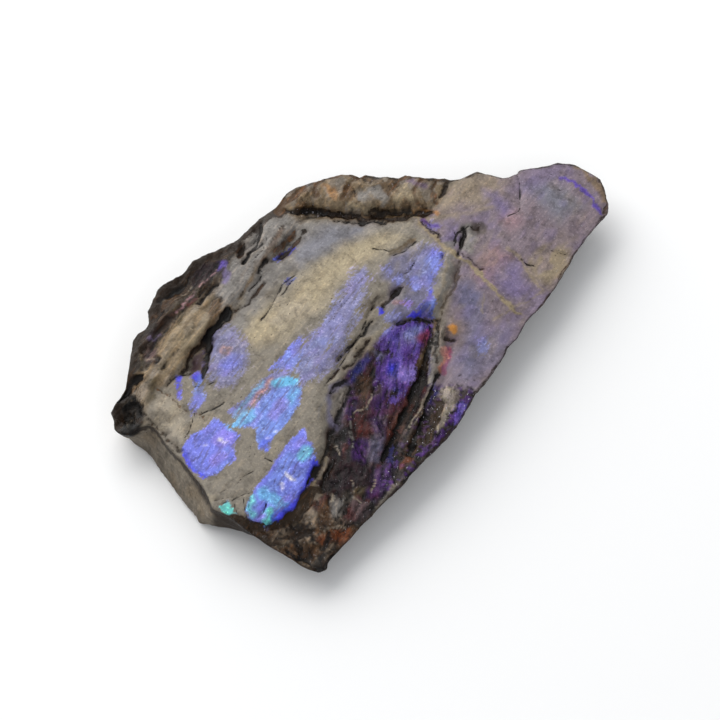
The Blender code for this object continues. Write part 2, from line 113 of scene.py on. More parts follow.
table_mesh = bpy.data.meshes.new("table")
side = TABLE_HALF * MM
table_corners = [(-side, -side, 0), (side, -side, 0), (side, side, 0), (-side, side, 0)]
table_mesh.from_pydata(table_corners, [], [(0, 1, 2, 3)])
table = bpy.data.objects.new("table", table_mesh)
bpy.context.scene.collection.objects.link(table)
card = bpy.data.materials.new("white_card")
card.use_nodes = True
card_face = card.node_tree.nodes["Principled BSDF"].inputs
card_face["Base Color"].default_value = (0.90, 0.90, 0.90, 1)
card_face["Roughness"].default_value = 0.9
card_face["Specular IOR Level"].default_value = 0.1
table_mesh.materials.append(card)

# The slab: nacre of an ammonite's shell on a bed of shale, broken out of the rock in one piece. Its
# faces are halved until they are 0.2 to 0.4 mm across, and evened out without wearing the corners off.

HALVINGS = 2
WEAR_ROUNDS = 2
WEAR = 0.42
WEAR_BACK = -0.40
WELD_DIGITS = 4
FACE_LEVEL = 5.5
BOX_TO_PICTURE = np.array((4.4, 1.0))
TOP_SLOPE = 0.40
TOP_SHARE = 0.3
FINE_ROUNDS = 6
WIDE_ROUNDS = 60

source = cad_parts["ammolite"].data
loose = np.array([v.co for v in source.vertices]) / MM
corner_ids = np.array([list(f.vertices) for f in source.polygons])
_, first, same = np.unique(np.round(loose, WELD_DIGITS), axis=0, return_index=True, return_inverse=True)
points = loose[first]
faces = same.ravel()[corner_ids]


def edges_of(faces):
    """Every edge once, and for each face the numbers of its three edges."""
    pairs = np.sort(np.vstack([faces[:, [0, 1]], faces[:, [1, 2]], faces[:, [2, 0]]]), axis=1)
    edges, numbers = np.unique(pairs, axis=0, return_inverse=True)
    return edges, numbers.reshape(3, -1).T


def halved(points, faces):
    """The same surface with each face cut in four."""
    edges, of_face = edges_of(faces)
    a, b, c = faces.T
    ab, bc, ca = (len(points) + of_face).T
    cut = [(a, ab, ca), (ab, b, bc), (ca, bc, c), (ab, bc, ca)]
    middles = points[edges].mean(axis=1)
    return np.vstack([points, middles]), np.vstack([np.stack(f, axis=1) for f in cut])


def evened(values, rounds, share=0.5):
    """Values on the points, each drawn towards its neighbours' mean."""
    one, other = edges.T
    size = len(values)
    count = np.bincount(edges.ravel(), minlength=size).astype(float)
    columns = values.reshape(size, -1).T
    for _ in range(rounds):
        totals = [np.bincount(one, c[other], size) + np.bincount(other, c[one], size) for c in columns]
        columns = columns + share * (np.array(totals) / count - columns)
    return columns.T.reshape(values.shape)


def normals_of(points):
    """The surface's direction at each point."""
    a, b, c = (points[faces[:, i]] for i in range(3))
    across = np.cross(b - a, c - a)
    normals = np.zeros(points.shape)
    for corner in range(3):
        for axis in range(3):
            normals[:, axis] += np.bincount(faces[:, corner], across[:, axis], len(points))
    return normals / np.linalg.norm(normals, axis=1, keepdims=True)


for _ in range(HALVINGS):
    points, faces = halved(points, faces)
    edges, _ = edges_of(faces)
    for _ in range(WEAR_ROUNDS):
        points = evened(evened(points, 1, WEAR), 1, WEAR_BACK)

normals = normals_of(points)
slant = np.array(away[:2]) / math.tan(CAMERA_HEIGHT)
seen = points[:, :2] + BOX_TO_PICTURE - (FACE_LEVEL - points[:, 2:]) * slant
plan = points[:, :2] + BOX_TO_PICTURE


def nearest_of(chosen):
    """Each point's distance from the nearest of the chosen points."""
    tree = kdtree.KDTree(int(chosen.sum()))
    for number, place in enumerate(points[chosen]):
        tree.insert(place, number)
    tree.balance()
    return np.array([0.0 if here else tree.find(place)[2] for here, place in zip(chosen, points)])


steady = evened(normals, FINE_ROUNDS)
looks_up = steady[:, 2] > TOP_SLOPE
looks_up &= evened(looks_up.astype(float), WIDE_ROUNDS) > TOP_SHARE
below_rim = nearest_of(looks_up)
from_rim = nearest_of(~looks_up)
on_top = evened(looks_up.astype(float), 2)
wall = 1 - on_top

# The layers show wherever the shell broke: along the left and back banks, in the dark hollow, at the
# lower right edge and at the tip. There the nacre comes off in thin sheets with ragged edges.

GRAIN_TURN = 27
HOLLOW_TURN = 50
HOLLOW = [
    (9.3, 0.2), (7, 1.4), (3, 0.7), (0, -0.4), (-3, -1.8), (-5, -3.8), (-8, -7), (-10.2, -10.2),
    (-13, -12.6), (-16, -14.2), (-14, -17), (-10, -21), (0, -16.5), (3, -14), (2, -10.6), (6, -6),
    (9.8, -2.6), (10.2, -1),
]
LEFT_BANK = [
    (-29, 4), (-25, 3.6), (-22.2, 7.4), (-19.8, 6.6), (-17, 8.2), (-14, 9.2), (-10.5, 11.2), (-8.2, 12.2),
    (-5.5, 13.4), (-2.4, 15.2), (0.6, 16), (3.2, 17.6), (3.6, 19.8), (2.4, 21.2), (3, 25), (-12, 24),
    (-24, 16), (-30, 8),
]
BACK_LIP = [
    (2.4, 21.2), (3.4, 19.2), (6, 17.8), (8.6, 16.2), (11, 14.9), (13.4, 13.6), (16, 12.2), (18.4, 13.4),
    (20.6, 14.8), (22, 17), (12, 25), (3, 25),
]
LOWER_EDGE = [
    (4.5, -7.6), (2.7, -9.2), (0.3, -11.1), (-2.4, -12.7), (-4.6, -13.9), (-6.7, -15), (-7.4, -17.9),
    (-3.7, -17.1), (1, -15.4), (5.8, -13.7), (9.8, -11.7), (8.5, -11.2), (8, -10.1), (7.3, -9.3),
    (6.4, -8.6), (5.4, -8.1),
]
TIP = [
    (-22.6, -10.8), (-20.8, -13.6), (-19, -14.4), (-17.4, -15.2), (-15.6, -14.4), (-13.6, -16.2),
    (-11, -19), (-11, -22.5), (-18, -25), (-23, -18),
]
SHEET = 0.26
SHEET_WAVE = 0.4
SHEET_EDGE = 0.16
CHIP_TOSS = np.array([(12.9, 39.4, 73.2, 26.7), (78.2, 11.1, 52.2, 64.8), (37.7, 83.2, 9.2, 45.1)])
CHIP_SPREAD = 4375.85


def ramp(values, low, high):
    """0 up to the low value, 1 from the high one, and a smooth slope between them."""
    t = np.clip((values - low) / (high - low), 0, 1)
    return t * t * (3 - 2 * t)


def laid_along(places, size, stretch, turn, seed):
    """The places in steps of that size, longer by the stretch along the turn, moved by the seed."""
    c, s = math.cos(math.radians(turn)), math.sin(math.radians(turn))
    along = (places[:, 0] * c + places[:, 1] * s) / (size * stretch)
    across = (places[:, 1] * c - places[:, 0] * s) / size
    high = places[:, 2] / size if places.shape[1] > 2 else np.zeros(len(places))
    return np.column_stack([along + seed, across - seed, high + seed])


def grain(seed, size, places, stretch=1.0, turn=0.0):
    """Noise from about -1 to 1, in grains of that size."""
    return np.array([noise.noise(p) for p in laid_along(places, size, stretch, turn, seed)])


def chips(seed, size, places, stretch=1.0, turn=0.0):
    """Flat chips of that size: a place's height on its own tilted chip, and the chip's number, 0 to 1."""
    spots = laid_along(places, size, stretch, turn, seed)
    middles = np.array([noise.voronoi(p)[1][0] for p in spots])
    own, *leans = np.mod(np.abs(np.sin(middles @ CHIP_TOSS)) * CHIP_SPREAD, 1.0).T
    return own - 0.5 + ((spots - middles) * (2 * np.array(leans).T - 1)).sum(axis=1), own


def off_line(a, b, places):
    """Each place's distance from the straight line between two points."""
    run = b - a
    share = np.clip(((places - a) @ run) / max(run @ run, 1e-9), 0, 1)
    return np.linalg.norm(places - a - share[:, None] * run, axis=1)


def off_path(path, places):
    """Each place's distance from a line through several points."""
    path = np.array(path, float)
    return np.min([off_line(a, b, places) for a, b in zip(path[:-1], path[1:])], axis=0)


def inside(outline, places):
    """How far each place lies inside the outline. It is less than nothing outside."""
    corners = np.array(outline, float)
    within = np.zeros(len(places), bool)
    for a, b in zip(corners, np.roll(corners, -1, axis=0)):
        crosses = (a[1] > places[:, 1]) != (b[1] > places[:, 1])
        rise = b[1] - a[1] if b[1] != a[1] else 1e-9
        within ^= crosses & (places[:, 0] < a[0] + (places[:, 1] - a[1]) / rise * (b[0] - a[0]))
    nearest = off_path(list(outline) + [outline[0]], places)
    return np.where(within, nearest, -nearest)


def part(outline, outer=-0.3, inner=0.6):
    """1 where the stone shows inside the outline and 0 outside it, with a soft edge between."""
    return ramp(inside(outline, seen), outer, inner)


hollow = part(HOLLOW) * on_top
left_bank = part(LEFT_BANK) * on_top
back_lip = part(BACK_LIP) * on_top
lower_edge = part(LOWER_EDGE) * on_top
tip = part(TIP, -0.2, 0.5)
broken = np.clip(hollow + left_bank + back_lip + lower_edge + tip, 0, 1)
dark_grain = np.clip(hollow + lower_edge, 0, 1)

face_streak = grain(3.1, 0.6, seen, 5, GRAIN_TURN) + 0.5 * grain(9.7, 0.3, seen, 5, GRAIN_TURN)
hollow_streak = grain(5.3, 0.6, seen, 4, HOLLOW_TURN) + 0.5 * grain(1.9, 0.3, seen, 4, HOLLOW_TURN)
streak = face_streak + (hollow_streak - face_streak) * dark_grain
crumb = grain(7.7, 0.8, points) + 0.6 * grain(2.3, 0.4, points)
swell = grain(12.6, 1.7, seen, 1.8, GRAIN_TURN)
hollow_swell = grain(15.2, 1.4, seen, 1.9, HOLLOW_TURN)
chunk, chunk_own = chips(1.7, 1.25, points, 1.5, 70)
chunk_small, _ = chips(4.1, 0.5, points)
splinter, splinter_own = chips(8.3, 0.75, seen, 4.5, 36)
lip_chunk, lip_own = chips(5.9, 1.1, seen, 2.2, 78)
splinter = splinter + (0.6 * lip_chunk - splinter) * back_lip
splinter_own = splinter_own + (lip_own - splinter_own) * back_lip
flake, flake_own = chips(6.4, 0.62, seen, 4.0, HOLLOW_TURN + 5)
bead, bead_own = chips(2.6, 0.42, seen)

level = points[:, 2] + SHEET_WAVE * grain(4.9, 2.0, seen, 4.5, 34)
share = level / SHEET - np.floor(level / SHEET)
terrace = SHEET * (np.floor(level / SHEET) + ramp(share, 0.5 - SHEET_EDGE, 0.5 + SHEET_EDGE)) - level

# Cracks in the film: the shell is brittle and has parted along fine lines, open down to the dark layer
# under it. Each line has its half-width, its depth and its places.

CRACKS = [
    (0.06, 0.12, [(-5.5, -1.9), (-3, -0.6), (-1, 0.6), (1, 2), (3, 3.5), (4.5, 4.8)]),
    (0.09, 0.1, [(9.8, 9.6), (11.4, 9.5), (13, 10)]),
    (0.07, 0.08, [(-19, 1.5), (-17.6, 1.4), (-16, 1.6)]),
    (0.05, 0.06, [(-22, -0.3), (-21.2, 0.2), (-20.3, 1.1), (-19.3, 2.2)]),
    (0.04, 0.05, [(-22, -8.5), (-20, -8.3), (-18.6, -7.7), (-17.5, -7.8)]),
    (0.07, 0.1, [(-22.5, -9.7), (-21.2, -9.9), (-20.5, -9.8)]),
    (0.07, 0.08, [(-15.8, -6.9), (-15.6, -7.2), (-15.3, -7.6)]),
    (0.09, 0.12, [(-7.2, 9.2), (-5.3, 10.2), (-4.2, 11.3), (-2.8, 12.3), (-1, 12.8)]),
    (0.07, 0.08, [(-3.9, 11), (-2.9, 11.4), (-1.6, 12.2)]),
    (0.07, 0.08, [(-6.5, 13.3), (-4.8, 14), (-3.8, 15.1), (-2.7, 15.8)]),
    (0.13, 0.18, [(-5.2, 17), (-4, 17.9), (-2.8, 18.5), (-1.5, 19.9), (-0.8, 21)]),
    (0.06, 0.08, [(-3.6, 17), (-2.4, 17.6), (-1.2, 18.8)]),
    (0.08, 0.1, [(24.5, 2), (25.8, 1.2), (26.4, 0.4), (27, -0.1)]),
    (0.07, 0.1, [(22, 2), (22.3, 1), (22.9, 0.4)]),
    (0.05, 0.08, [(30.2, 9.3), (31, 8.7), (31.2, 8)]),
    (0.14, 0.16, [(16.4, 6.3), (17.5, 7.5), (18.2, 8), (18.7, 9)]),
    (0.1, 0.12, [(16.8, 8), (17.8, 8.7), (19.4, 9)]),
    (0.07, 0.1, [(16.6, 7.4), (17.4, 8.4), (17.6, 9.4)]),
    (0.06, 0.12, [(28, 12.8), (27.5, 11), (26.5, 9.5), (25.5, 8), (24, 8)]),
    (0.06, 0.1, [(-23, -8.9), (-21.8, -9.3), (-20.5, -9.7), (-19.2, -10)]),
    (0.06, 0.1, [(-21.2, -9.6), (-21.4, -10.6), (-21.8, -12)]),
    (0.07, 0.1, [(-20.2, -10.2), (-20.5, -11.2), (-21.1, -12.7)]),
    (0.06, 0.1, [(-19.7, -10.8), (-20.1, -11.6), (-20.5, -12.6)]),
    (0.05, 0.05, [(-18.4, -11.9), (-19.1, -12.7), (-19.7, -13.2)]),
    (0.07, 0.08, [(-17.8, 5), (-16.6, 4.6), (-15.6, 4.4)]),
    (0.08, 0.12, [(8.3, 11.6), (9.4, 10.8), (9.9, 10.2)]),
    (0.04, 0.06, [(1.2, 6.2), (2.6, 7), (3.8, 7.3)]),
    (0.05, 0.08, [(9.2, 6.6), (10.4, 6.9), (11.6, 7.8)]),
    (0.06, 0.08, [(15.9, 11.8), (15.4, 10.6), (15.8, 9.6)]),
]
CRACK_WANDER = 0.12
CRACK_REACH = 0.6

wander = np.stack([grain(21.5, 1.3, seen), grain(63.2, 1.3, seen)], axis=1)
wander += 0.5 * np.stack([grain(11.5, 0.5, seen), grain(33.2, 0.5, seen)], axis=1)
uneven = np.clip(1 + 0.9 * grain(44.4, 1.1, seen), 0.35, 1.7)
crack_edge = np.full(len(points), -CRACK_REACH)
crack_depth = np.zeros(len(points))
for half, depth, path in CRACKS:
    gap = half * uneven - off_path(path, seen + CRACK_WANDER * wander)
    crack_edge = np.maximum(crack_edge, np.clip(gap, -CRACK_REACH, CRACK_REACH))
    crack_depth = np.maximum(crack_depth, depth * ramp(gap, -0.20, 0.08))
crack_edge = np.where(on_top > 0.5, crack_edge, -CRACK_REACH)

# The film over the face: a milky grey-beige skin of altered nacre over dark stone, whose milky grey is
# partly a painted sheen of the soft light on the polished face, cream along its middle, lilac on the
# right-hand plate, and worn through to dark brown along every break.

# film_and_sheen is the film's own grey-beige with a painted sheen in it
COLOURS = {
    "film_and_sheen": (128, 121, 110), "grey": (124, 120, 116), "bluish": (118, 119, 131), "cream": (163, 150, 124),
    "pale": (160, 150, 134), "lilac": (123, 110, 118), "lavender": (114, 102, 146), "rose": (148, 114, 120),
    "beige": (144, 130, 106), "tan": (124, 105, 79), "brown": (74, 51, 30), "umber": (35, 25, 17),
    "black": (13, 10, 9), "bark": (46, 34, 22), "plum": (38, 23, 30), "wine": (78, 32, 30),
    "rust": (136, 70, 34), "ochre": (178, 122, 54), "salmon": (216, 150, 130), "shale": (122, 114, 102),
    "slate": (70, 63, 56), "glint_white": (228, 226, 232), "blue": (110, 119, 222), "sky": (112, 138, 222),
    "cyan": (98, 188, 230), "teal": (98, 204, 202), "deep": (52, 58, 222), "royal": (26, 26, 196),
    "navy": (28, 36, 112), "violet": (88, 66, 166), "purple": (72, 40, 108), "magenta": (128, 50, 86),
    "haze": (120, 124, 192), "orchid": (150, 130, 230), "sepia": (88, 70, 46), "husk": (146, 132, 116),
    "olive": (70, 60, 38), "mauve": (96, 78, 80), "dusk": (104, 102, 130),
}


def light_of(name):
    """The colour as an amount of light, red, green and blue."""
    share = np.array(COLOURS[name]) / 255
    return np.where(share <= 0.04045, share / 12.92, ((share + 0.055) / 1.055) ** 2.4)


def laid(under, name, amount):
    """The colours with another one laid over them by that amount."""
    return under + (light_of(name) - under) * np.clip(amount, 0, 1)[:, None]


def layered(under, coats):
    """The colours with several others laid over them in turn, each by its own amount."""
    for name, amount in coats:
        under = laid(under, name, amount)
    return under


def patched(under, patches):
    """The colours with several patches laid over them, as in the tables of areas and pieces below."""
    for name, soft, strength, outline in patches:
        under = laid(under, name, strength * ramp(inside(outline, brushed), -soft, soft))
    return under


PLATE = [
    (14.4, 12.4), (17, 13), (22, 15), (28, 14), (36, 12), (37, 4), (34, 2), (20, -6), (9, -11), (4, -9),
    (6.6, -5.4), (9.4, -2.2), (12, 1), (15.6, 5),
]
# Areas of the film: colour, softness of the edge, strength, outline
AREAS = [
    ("tan", 0.8, 0.9, LEFT_BANK),
    ("tan", 0.8, 0.8, BACK_LIP),
    ("grey", 0.9, 1, [(-8.6, 16.8), (-6.5, 19.4), (-1, 21.4), (2.4, 21), (3.2, 19), (9, 15), (12, 14),
        (9, 12.6), (0, 13.6), (-6, 12.2), (-10.4, 12.6), (-10.6, 15.4)]),
    ("bluish", 1.2, 0.7, [(-1, 13.6), (4, 13.8), (9, 13.2), (10, 14.8), (5, 17), (1, 16)]),
    ("cream", 1.3, 1, [(-11, 7.6), (-8, 10.6), (-4, 10.2), (1, 12.4), (6, 13.6), (10, 13.4), (12, 11.4),
        (8, 10.6), (3, 9.6), (-1, 7.6), (-5, 6.6), (-9, 6.2)]),
    ("pale", 0.8, 0.6, [(-7, 8.6), (-4, 10), (-1, 9.6), (-2, 7.6), (-6, 7.2)]),
    ("lilac", 1, 1, PLATE),
    ("beige", 1.4, 0.7, [(21, 15.6), (26, 14.4), (26.5, 12.4), (24.6, 11), (22, 10.6), (20, 12),
        (17.5, 11.4), (18, 13.6)]),
    ("beige", 1, 0.9, [(22.6, 1.4), (25.4, 2.4), (27.6, 0.8), (26, -2), (22.8, -3), (21.9, -1)]),
    ("tan", 0.9, 0.5, [(10, -2), (12.5, -0.4), (12, -3.6), (10.4, -4.6), (9, -3.4)]),
    ("dusk", 1, 0.7, [(12.2, -1.4), (14.6, 0.4), (15.4, -1.6), (13.6, -3.6), (12, -6.6), (9, -8.6),
        (8.6, -6.4), (11, -4)]),
    ("dusk", 0.9, 0.9, [(13.8, 2.6), (15.2, 2.5), (15.6, 0.3), (14.8, -1.2), (13, -0.9), (12.6, 0.5)]),
    ("lavender", 0.9, 0.6, [(18, 1.6), (21, 2), (21, -2.6), (18.4, -3)]),
    ("rose", 0.9, 0.6, [(17.6, 4.4), (20.6, 5.4), (21.2, 2.6), (18, 2)]),
    ("rose", 0.8, 0.5, [(16.6, 4.2), (17.8, 2.6), (17.6, 0.4), (16.2, 1.8)]),
    ("lavender", 0.7, 0.6, [(17.3, 10.1), (18.4, 9.8), (17.9, 8.5), (16.6, 7.2), (16.1, 8.5)]),
    ("lavender", 0.8, 0.65, [(23.4, 12.6), (24.6, 11.6), (24.8, 8.4), (23.6, 8)]),
    ("rose", 0.9, 0.5, [(23, 8.4), (25.4, 8.6), (25, 6.4), (23, 6)]),
    ("bluish", 1.3, 0.8, [(28.2, 10.4), (31.4, 9.8), (31.8, 5), (28.4, 4.4)]),
    ("lavender", 1.2, 0.35, [(26, 11), (30, 12.6), (33.6, 11.4), (33, 9), (28, 9.4)]),
    ("grey", 0.5, 0.9, [(18.7, 9.5), (19.8, 9.2), (19.3, 6.8), (17.6, 5.5), (17.1, 6.7)]),
    ("dusk", 0.7, 0.9, [(9.6, 9.4), (12.4, 9.6), (14.6, 8), (14.4, 6.4), (11.6, 3.6), (8.6, 1.4),
        (5, 0.6), (5, 3.4), (7.6, 6), (7, 8)]),
    ("grey", 0.9, 0.8, [(-10.9, 11.6), (-7.7, 13.3), (-5.2, 12.8), (-6.4, 10.6), (-9.4, 8.9),
        (-11.9, 8.8), (-12.5, 10)]),
    ("plum", 0.6, 1, HOLLOW),
    ("lilac", 0.6, 0.9, LOWER_EDGE),
    ("bark", 0.5, 1, TIP),
    ("film_and_sheen", 0.6, 1, [(-12, -9.6), (-9, -6), (-6, -3.4), (-3.6, -0.9), (0, -0.2), (2, 0.6), (-1, 1.2),
        (-6, -1.4), (-10, -6)]),
    ("pale", 0.4, 0.9, [(-22.6, 6), (-20.9, 5.9), (-19.8, 4.4), (-21.3, 1.2), (-22.3, -0.8), (-22.6, 0.3),
        (-23.2, 2.5), (-23.2, 4.3)]),
    ("dusk", 0.9, 0.5, [(12.4, -4.5), (16.3, -5.2), (14.2, -7.9), (11, -9.4), (8.2, -9.8), (7.2, -8.2),
        (9.5, -5.9)]),
]
# Pieces of another colour, which lie over the stains: the same four things
PIECES = [
    ("black", 0.5, 0.55, [(-11.2, -10.1), (-9.2, -9.5), (-8, -11.5), (-9.4, -14.3), (-12.2, -14.3),
        (-13.6, -13.8), (-11.8, -11.8)]),
    ("dusk", 0.35, 0.8, [(-5.1, -2.3), (-3.7, -2.1), (-2.9, -3.2), (-4.3, -4.8), (-6.2, -6.8),
        (-7.6, -7.8), (-7.6, -6), (-6.3, -3.7)]),
    ("film_and_sheen", 0.25, 0.9, [(-5.1, -3.2), (-4.3, -3), (-3.4, -3.4), (-4.4, -4.5), (-5.8, -5.8), (-6.9, -6.4),
        (-6.6, -5)]),
    ("navy", 0.3, 0.7, [(0.7, -0.5), (0.7, -1.3), (-1, -2.2), (-2.7, -3), (-3.4, -2.9), (-2.1, -1.9)]),
    ("dusk", 0.25, 0.8, [(1.3, -0.7), (2.1, -1.5), (1.7, -2.2), (1, -1.8)]),
    ("brown", 0.5, 0.7, [(-1.9, -2.6), (-0.6, -3.4), (-2.2, -6), (-3.5, -5.3)]),
    ("wine", 0.4, 0.8, [(-4.7, -6.7), (-3, -7.3), (-4.6, -10.4), (-6.2, -9.7)]),
    ("purple", 0.5, 0.8, [(-6.4, -9.8), (-5, -10.4), (-6.6, -12.8), (-7.3, -11.8)]),
    ("wine", 0.6, 0.7, [(-0.7, -7.2), (1.8, -7.8), (-0.1, -9.7), (-2.6, -11.8), (-3.5, -11.3)]),
    ("purple", 0.6, 0.5, [(-1.9, -5.9), (-0.7, -6.6), (-3.2, -10.6), (-4, -9.5)]),
    ("plum", 0.5, 0.9, [(-9, -11.4), (-7.5, -12.2), (-6.9, -13.7), (-8.4, -15.8), (-10.1, -15.7),
        (-10.4, -13.8)]),
    ("purple", 0.6, 0.6, [(-6.2, -14.2), (-4.3, -14.4), (-6.4, -17), (-8.3, -17.3), (-8.5, -16.4)]),
    ("brown", 0.5, 0.8, [(-21.2, -12.7), (-20.2, -14.3), (-18.3, -15.3), (-19.7, -16.5), (-20.9, -14.8)]),
    ("husk", 0.25, 0.4, [(-19.4, -15.4), (-18.4, -15.7), (-18.2, -17.2), (-19.1, -17.8), (-19.7, -16.6)]),
    ("brown", 0.4, 0.8, [(-17.6, -18.5), (-16.2, -19.2), (-16.8, -20.7), (-18.2, -20.2)]),
    ("rust", 0.4, 0.5, [(-14, -18.8), (-12.2, -19.1), (-12.8, -20.5), (-14.5, -20.6)]),
    ("black", 0.25, 0.95, [(-16.9, -20.5), (-15, -20.9), (-15.5, -21.9), (-17.6, -22.8), (-18.1, -21.2)]),
    ("slate", 0.5, 1, [(-11.6, -15.4), (-10.1, -15), (-10, -16.4), (-12.2, -17.2), (-13.5, -17.6),
        (-13.3, -16.2)]),
    ("brown", 0.4, 0.9, [(-13.3, -14.7), (-12.3, -14.9), (-13.6, -17.8), (-15.3, -17.6), (-14.7, -15.8)]),
    ("husk", 0.3, 0.9, [(-15.4, -14.8), (-14.4, -14.9), (-15.1, -17), (-15.9, -16.2)]),
    ("grey", 0.5, 0.9, [(-1.5, 19), (-3.7, 16.4), (-6, 14.5), (-8.2, 12.9), (-10, 12.4), (-10.1, 14),
        (-9.8, 15.4), (-7.9, 16.2), (-6.4, 18), (-4.2, 19.6)]),
    ("beige", 0.5, 0.5, [(-10, 15.2), (-10, 13.7), (-12.1, 11.7), (-14.4, 10.2), (-16.2, 9.7),
        (-17.4, 8.2), (-19.2, 7.7), (-20.7, 7.7), (-20.6, 8.8), (-19.3, 9.9), (-18.2, 11.5),
        (-16.4, 12.9), (-14.7, 13.8), (-12.6, 14.5)]),
    ("bark", 0.35, 1, [(-26.9, 7.9), (-24.5, 9.9), (-22.8, 12.7), (-21.8, 14.5), (-20.5, 15.6),
        (-18.8, 15.6), (-17.7, 17.6), (-15.3, 19.9), (-12.9, 20.1), (-11.5, 20.3), (-9.8, 21.6),
        (-7.8, 21.6), (-5.6, 21.4), (-2.7, 21), (-3.9, 19.6), (-5.5, 18.4), (-6.9, 17.4), (-8, 16.5),
        (-9.6, 15.8), (-11.2, 15.3), (-12.7, 14.9), (-14.1, 14.6), (-15.9, 13.9), (-17, 13.1),
        (-18, 12.3), (-19.2, 11.6), (-19.3, 10.3), (-20.8, 9.9), (-22.1, 9.7), (-23.5, 9.1), (-25, 7.9)]),
    ("brown", 0.4, 0.9, [(-12.5, 17), (-14.1, 16.3), (-16.4, 15.8), (-17.7, 15.2), (-17.6, 16.4),
        (-15.4, 16.8), (-13.6, 17.3)]),
    ("brown", 0.4, 0.9, [(-4.6, 19.8), (-6.2, 18.8), (-8.7, 19), (-9.1, 20.1), (-7, 20.2)]),
    ("plum", 0.4, 0.9, [(-6.8, 18.2), (-8.1, 17.3), (-10.2, 16.6), (-12, 17), (-11.4, 18.6), (-9.6, 19.2),
        (-8, 18.9)]),
    ("violet", 0.3, 0.8, [(-7.6, 18.6), (-6.8, 18.3), (-7.3, 17.3), (-8.2, 17.4)]),
    ("plum", 0.3, 0.8, [(-14.9, 14.9), (-16.3, 14.1), (-17.7, 13), (-19, 11.9), (-20.3, 11.7),
        (-20.3, 12.7), (-18.9, 14), (-17.3, 14.7), (-15.8, 15.1)]),
    ("lavender", 0.3, 0.7, [(-18.8, 14), (-17.6, 14.1), (-17.7, 13.1), (-18.9, 12.6), (-19.4, 13.1)]),
    ("olive", 0.4, 0.8, [(-20.6, 12.2), (-21.5, 10.3), (-23.7, 9.4), (-22.9, 12), (-21.6, 13.7),
        (-20.4, 14)]),
    ("mauve", 0.3, 0.9, [(-20.2, 11.9), (-19, 11.3), (-19.8, 10.4), (-21, 10.7)]),
    ("husk", 0.3, 0.7, [(-24.7, 7.3), (-22.5, 8.4), (-22.6, 7.3), (-23.8, 6.1), (-24.9, 6.2)]),
    ("olive", 0.35, 0.8, [(-21.7, 8.6), (-20.7, 8.3), (-22.2, 5.8), (-23.6, 5.4)]),
    ("brown", 0.3, 0.85, [(-9.6, 14.2), (-10.1, 13.1), (-11.2, 11.8), (-12.2, 11.7), (-11.8, 13.1),
        (-10.9, 14)]),
    ("olive", 0.25, 0.8, [(-14, 14.3), (-14.9, 13.3), (-16.1, 12.9), (-15.1, 14)]),
    ("mauve", 0.2, 1, [(-14.5, 9), (-15.3, 7.6), (-16.4, 6.6), (-17.2, 7.2), (-16, 8.5)]),
    ("film_and_sheen", 0.3, 0.8, [(9.5, -0.5), (10.5, -1), (8.6, -3.8), (6.3, -6.7), (5.5, -6.6), (7.5, -3.2)]),
    ("pale", 0.25, 0.75, [(5.5, -8.7), (6.4, -8.9), (6.6, -9.9), (5.8, -11.3), (4.5, -11.7), (3.6, -12.4),
        (2.3, -13.2), (2, -12.7), (3.1, -11.5), (4.4, -10.5), (4.7, -9.4)]),
    ("navy", 0.3, 0.6, [(4.6, -7.2), (5.3, -7.6), (4.3, -9.2), (3.1, -10.3), (2.2, -10.7), (2.3, -9.9),
        (3.6, -8.8)]),
    ("slate", 0.3, 0.8, [(19.8, 9.2), (20.8, 8.9), (21.2, 7.9), (20.3, 6.8), (19.4, 7.4), (19.3, 8.3)]),
    ("dusk", 0.4, 0.55, [(-4.6, -10.1), (-3.3, -10.8), (-4.2, -12.4), (-5.6, -13.6), (-6.2, -13),
        (-5.7, -11.5)]),
    ("olive", 0.3, 0.8, [(-9.7, -14.8), (-8.5, -15.5), (-9.1, -16.4), (-10.2, -15.9)]),
    ("plum", 0.3, 0.7, [(-16.3, 8.5), (-14.7, 8.8), (-15.1, 7.2), (-16.6, 5.3), (-17.6, 5.3),
        (-17.4, 7)]),
    ("pale", 0.2, 0.7, [(-13.6, -12.5), (-12.7, -12.7), (-12.8, -13.9), (-13.6, -14.5), (-14.3, -13.9)]),
    ("mauve", 0.3, 0.8, [(-10.4, -16.1), (-9.5, -16.5), (-9.2, -17.4), (-10.5, -18.6), (-11.4, -18.7),
        (-11.1, -17.4)]),
    ("grey", 0.35, 0.8, [(-12.1, -15.1), (-11.3, -15.3), (-11.4, -16.4), (-13, -17.5), (-13.4, -16.9)]),
]
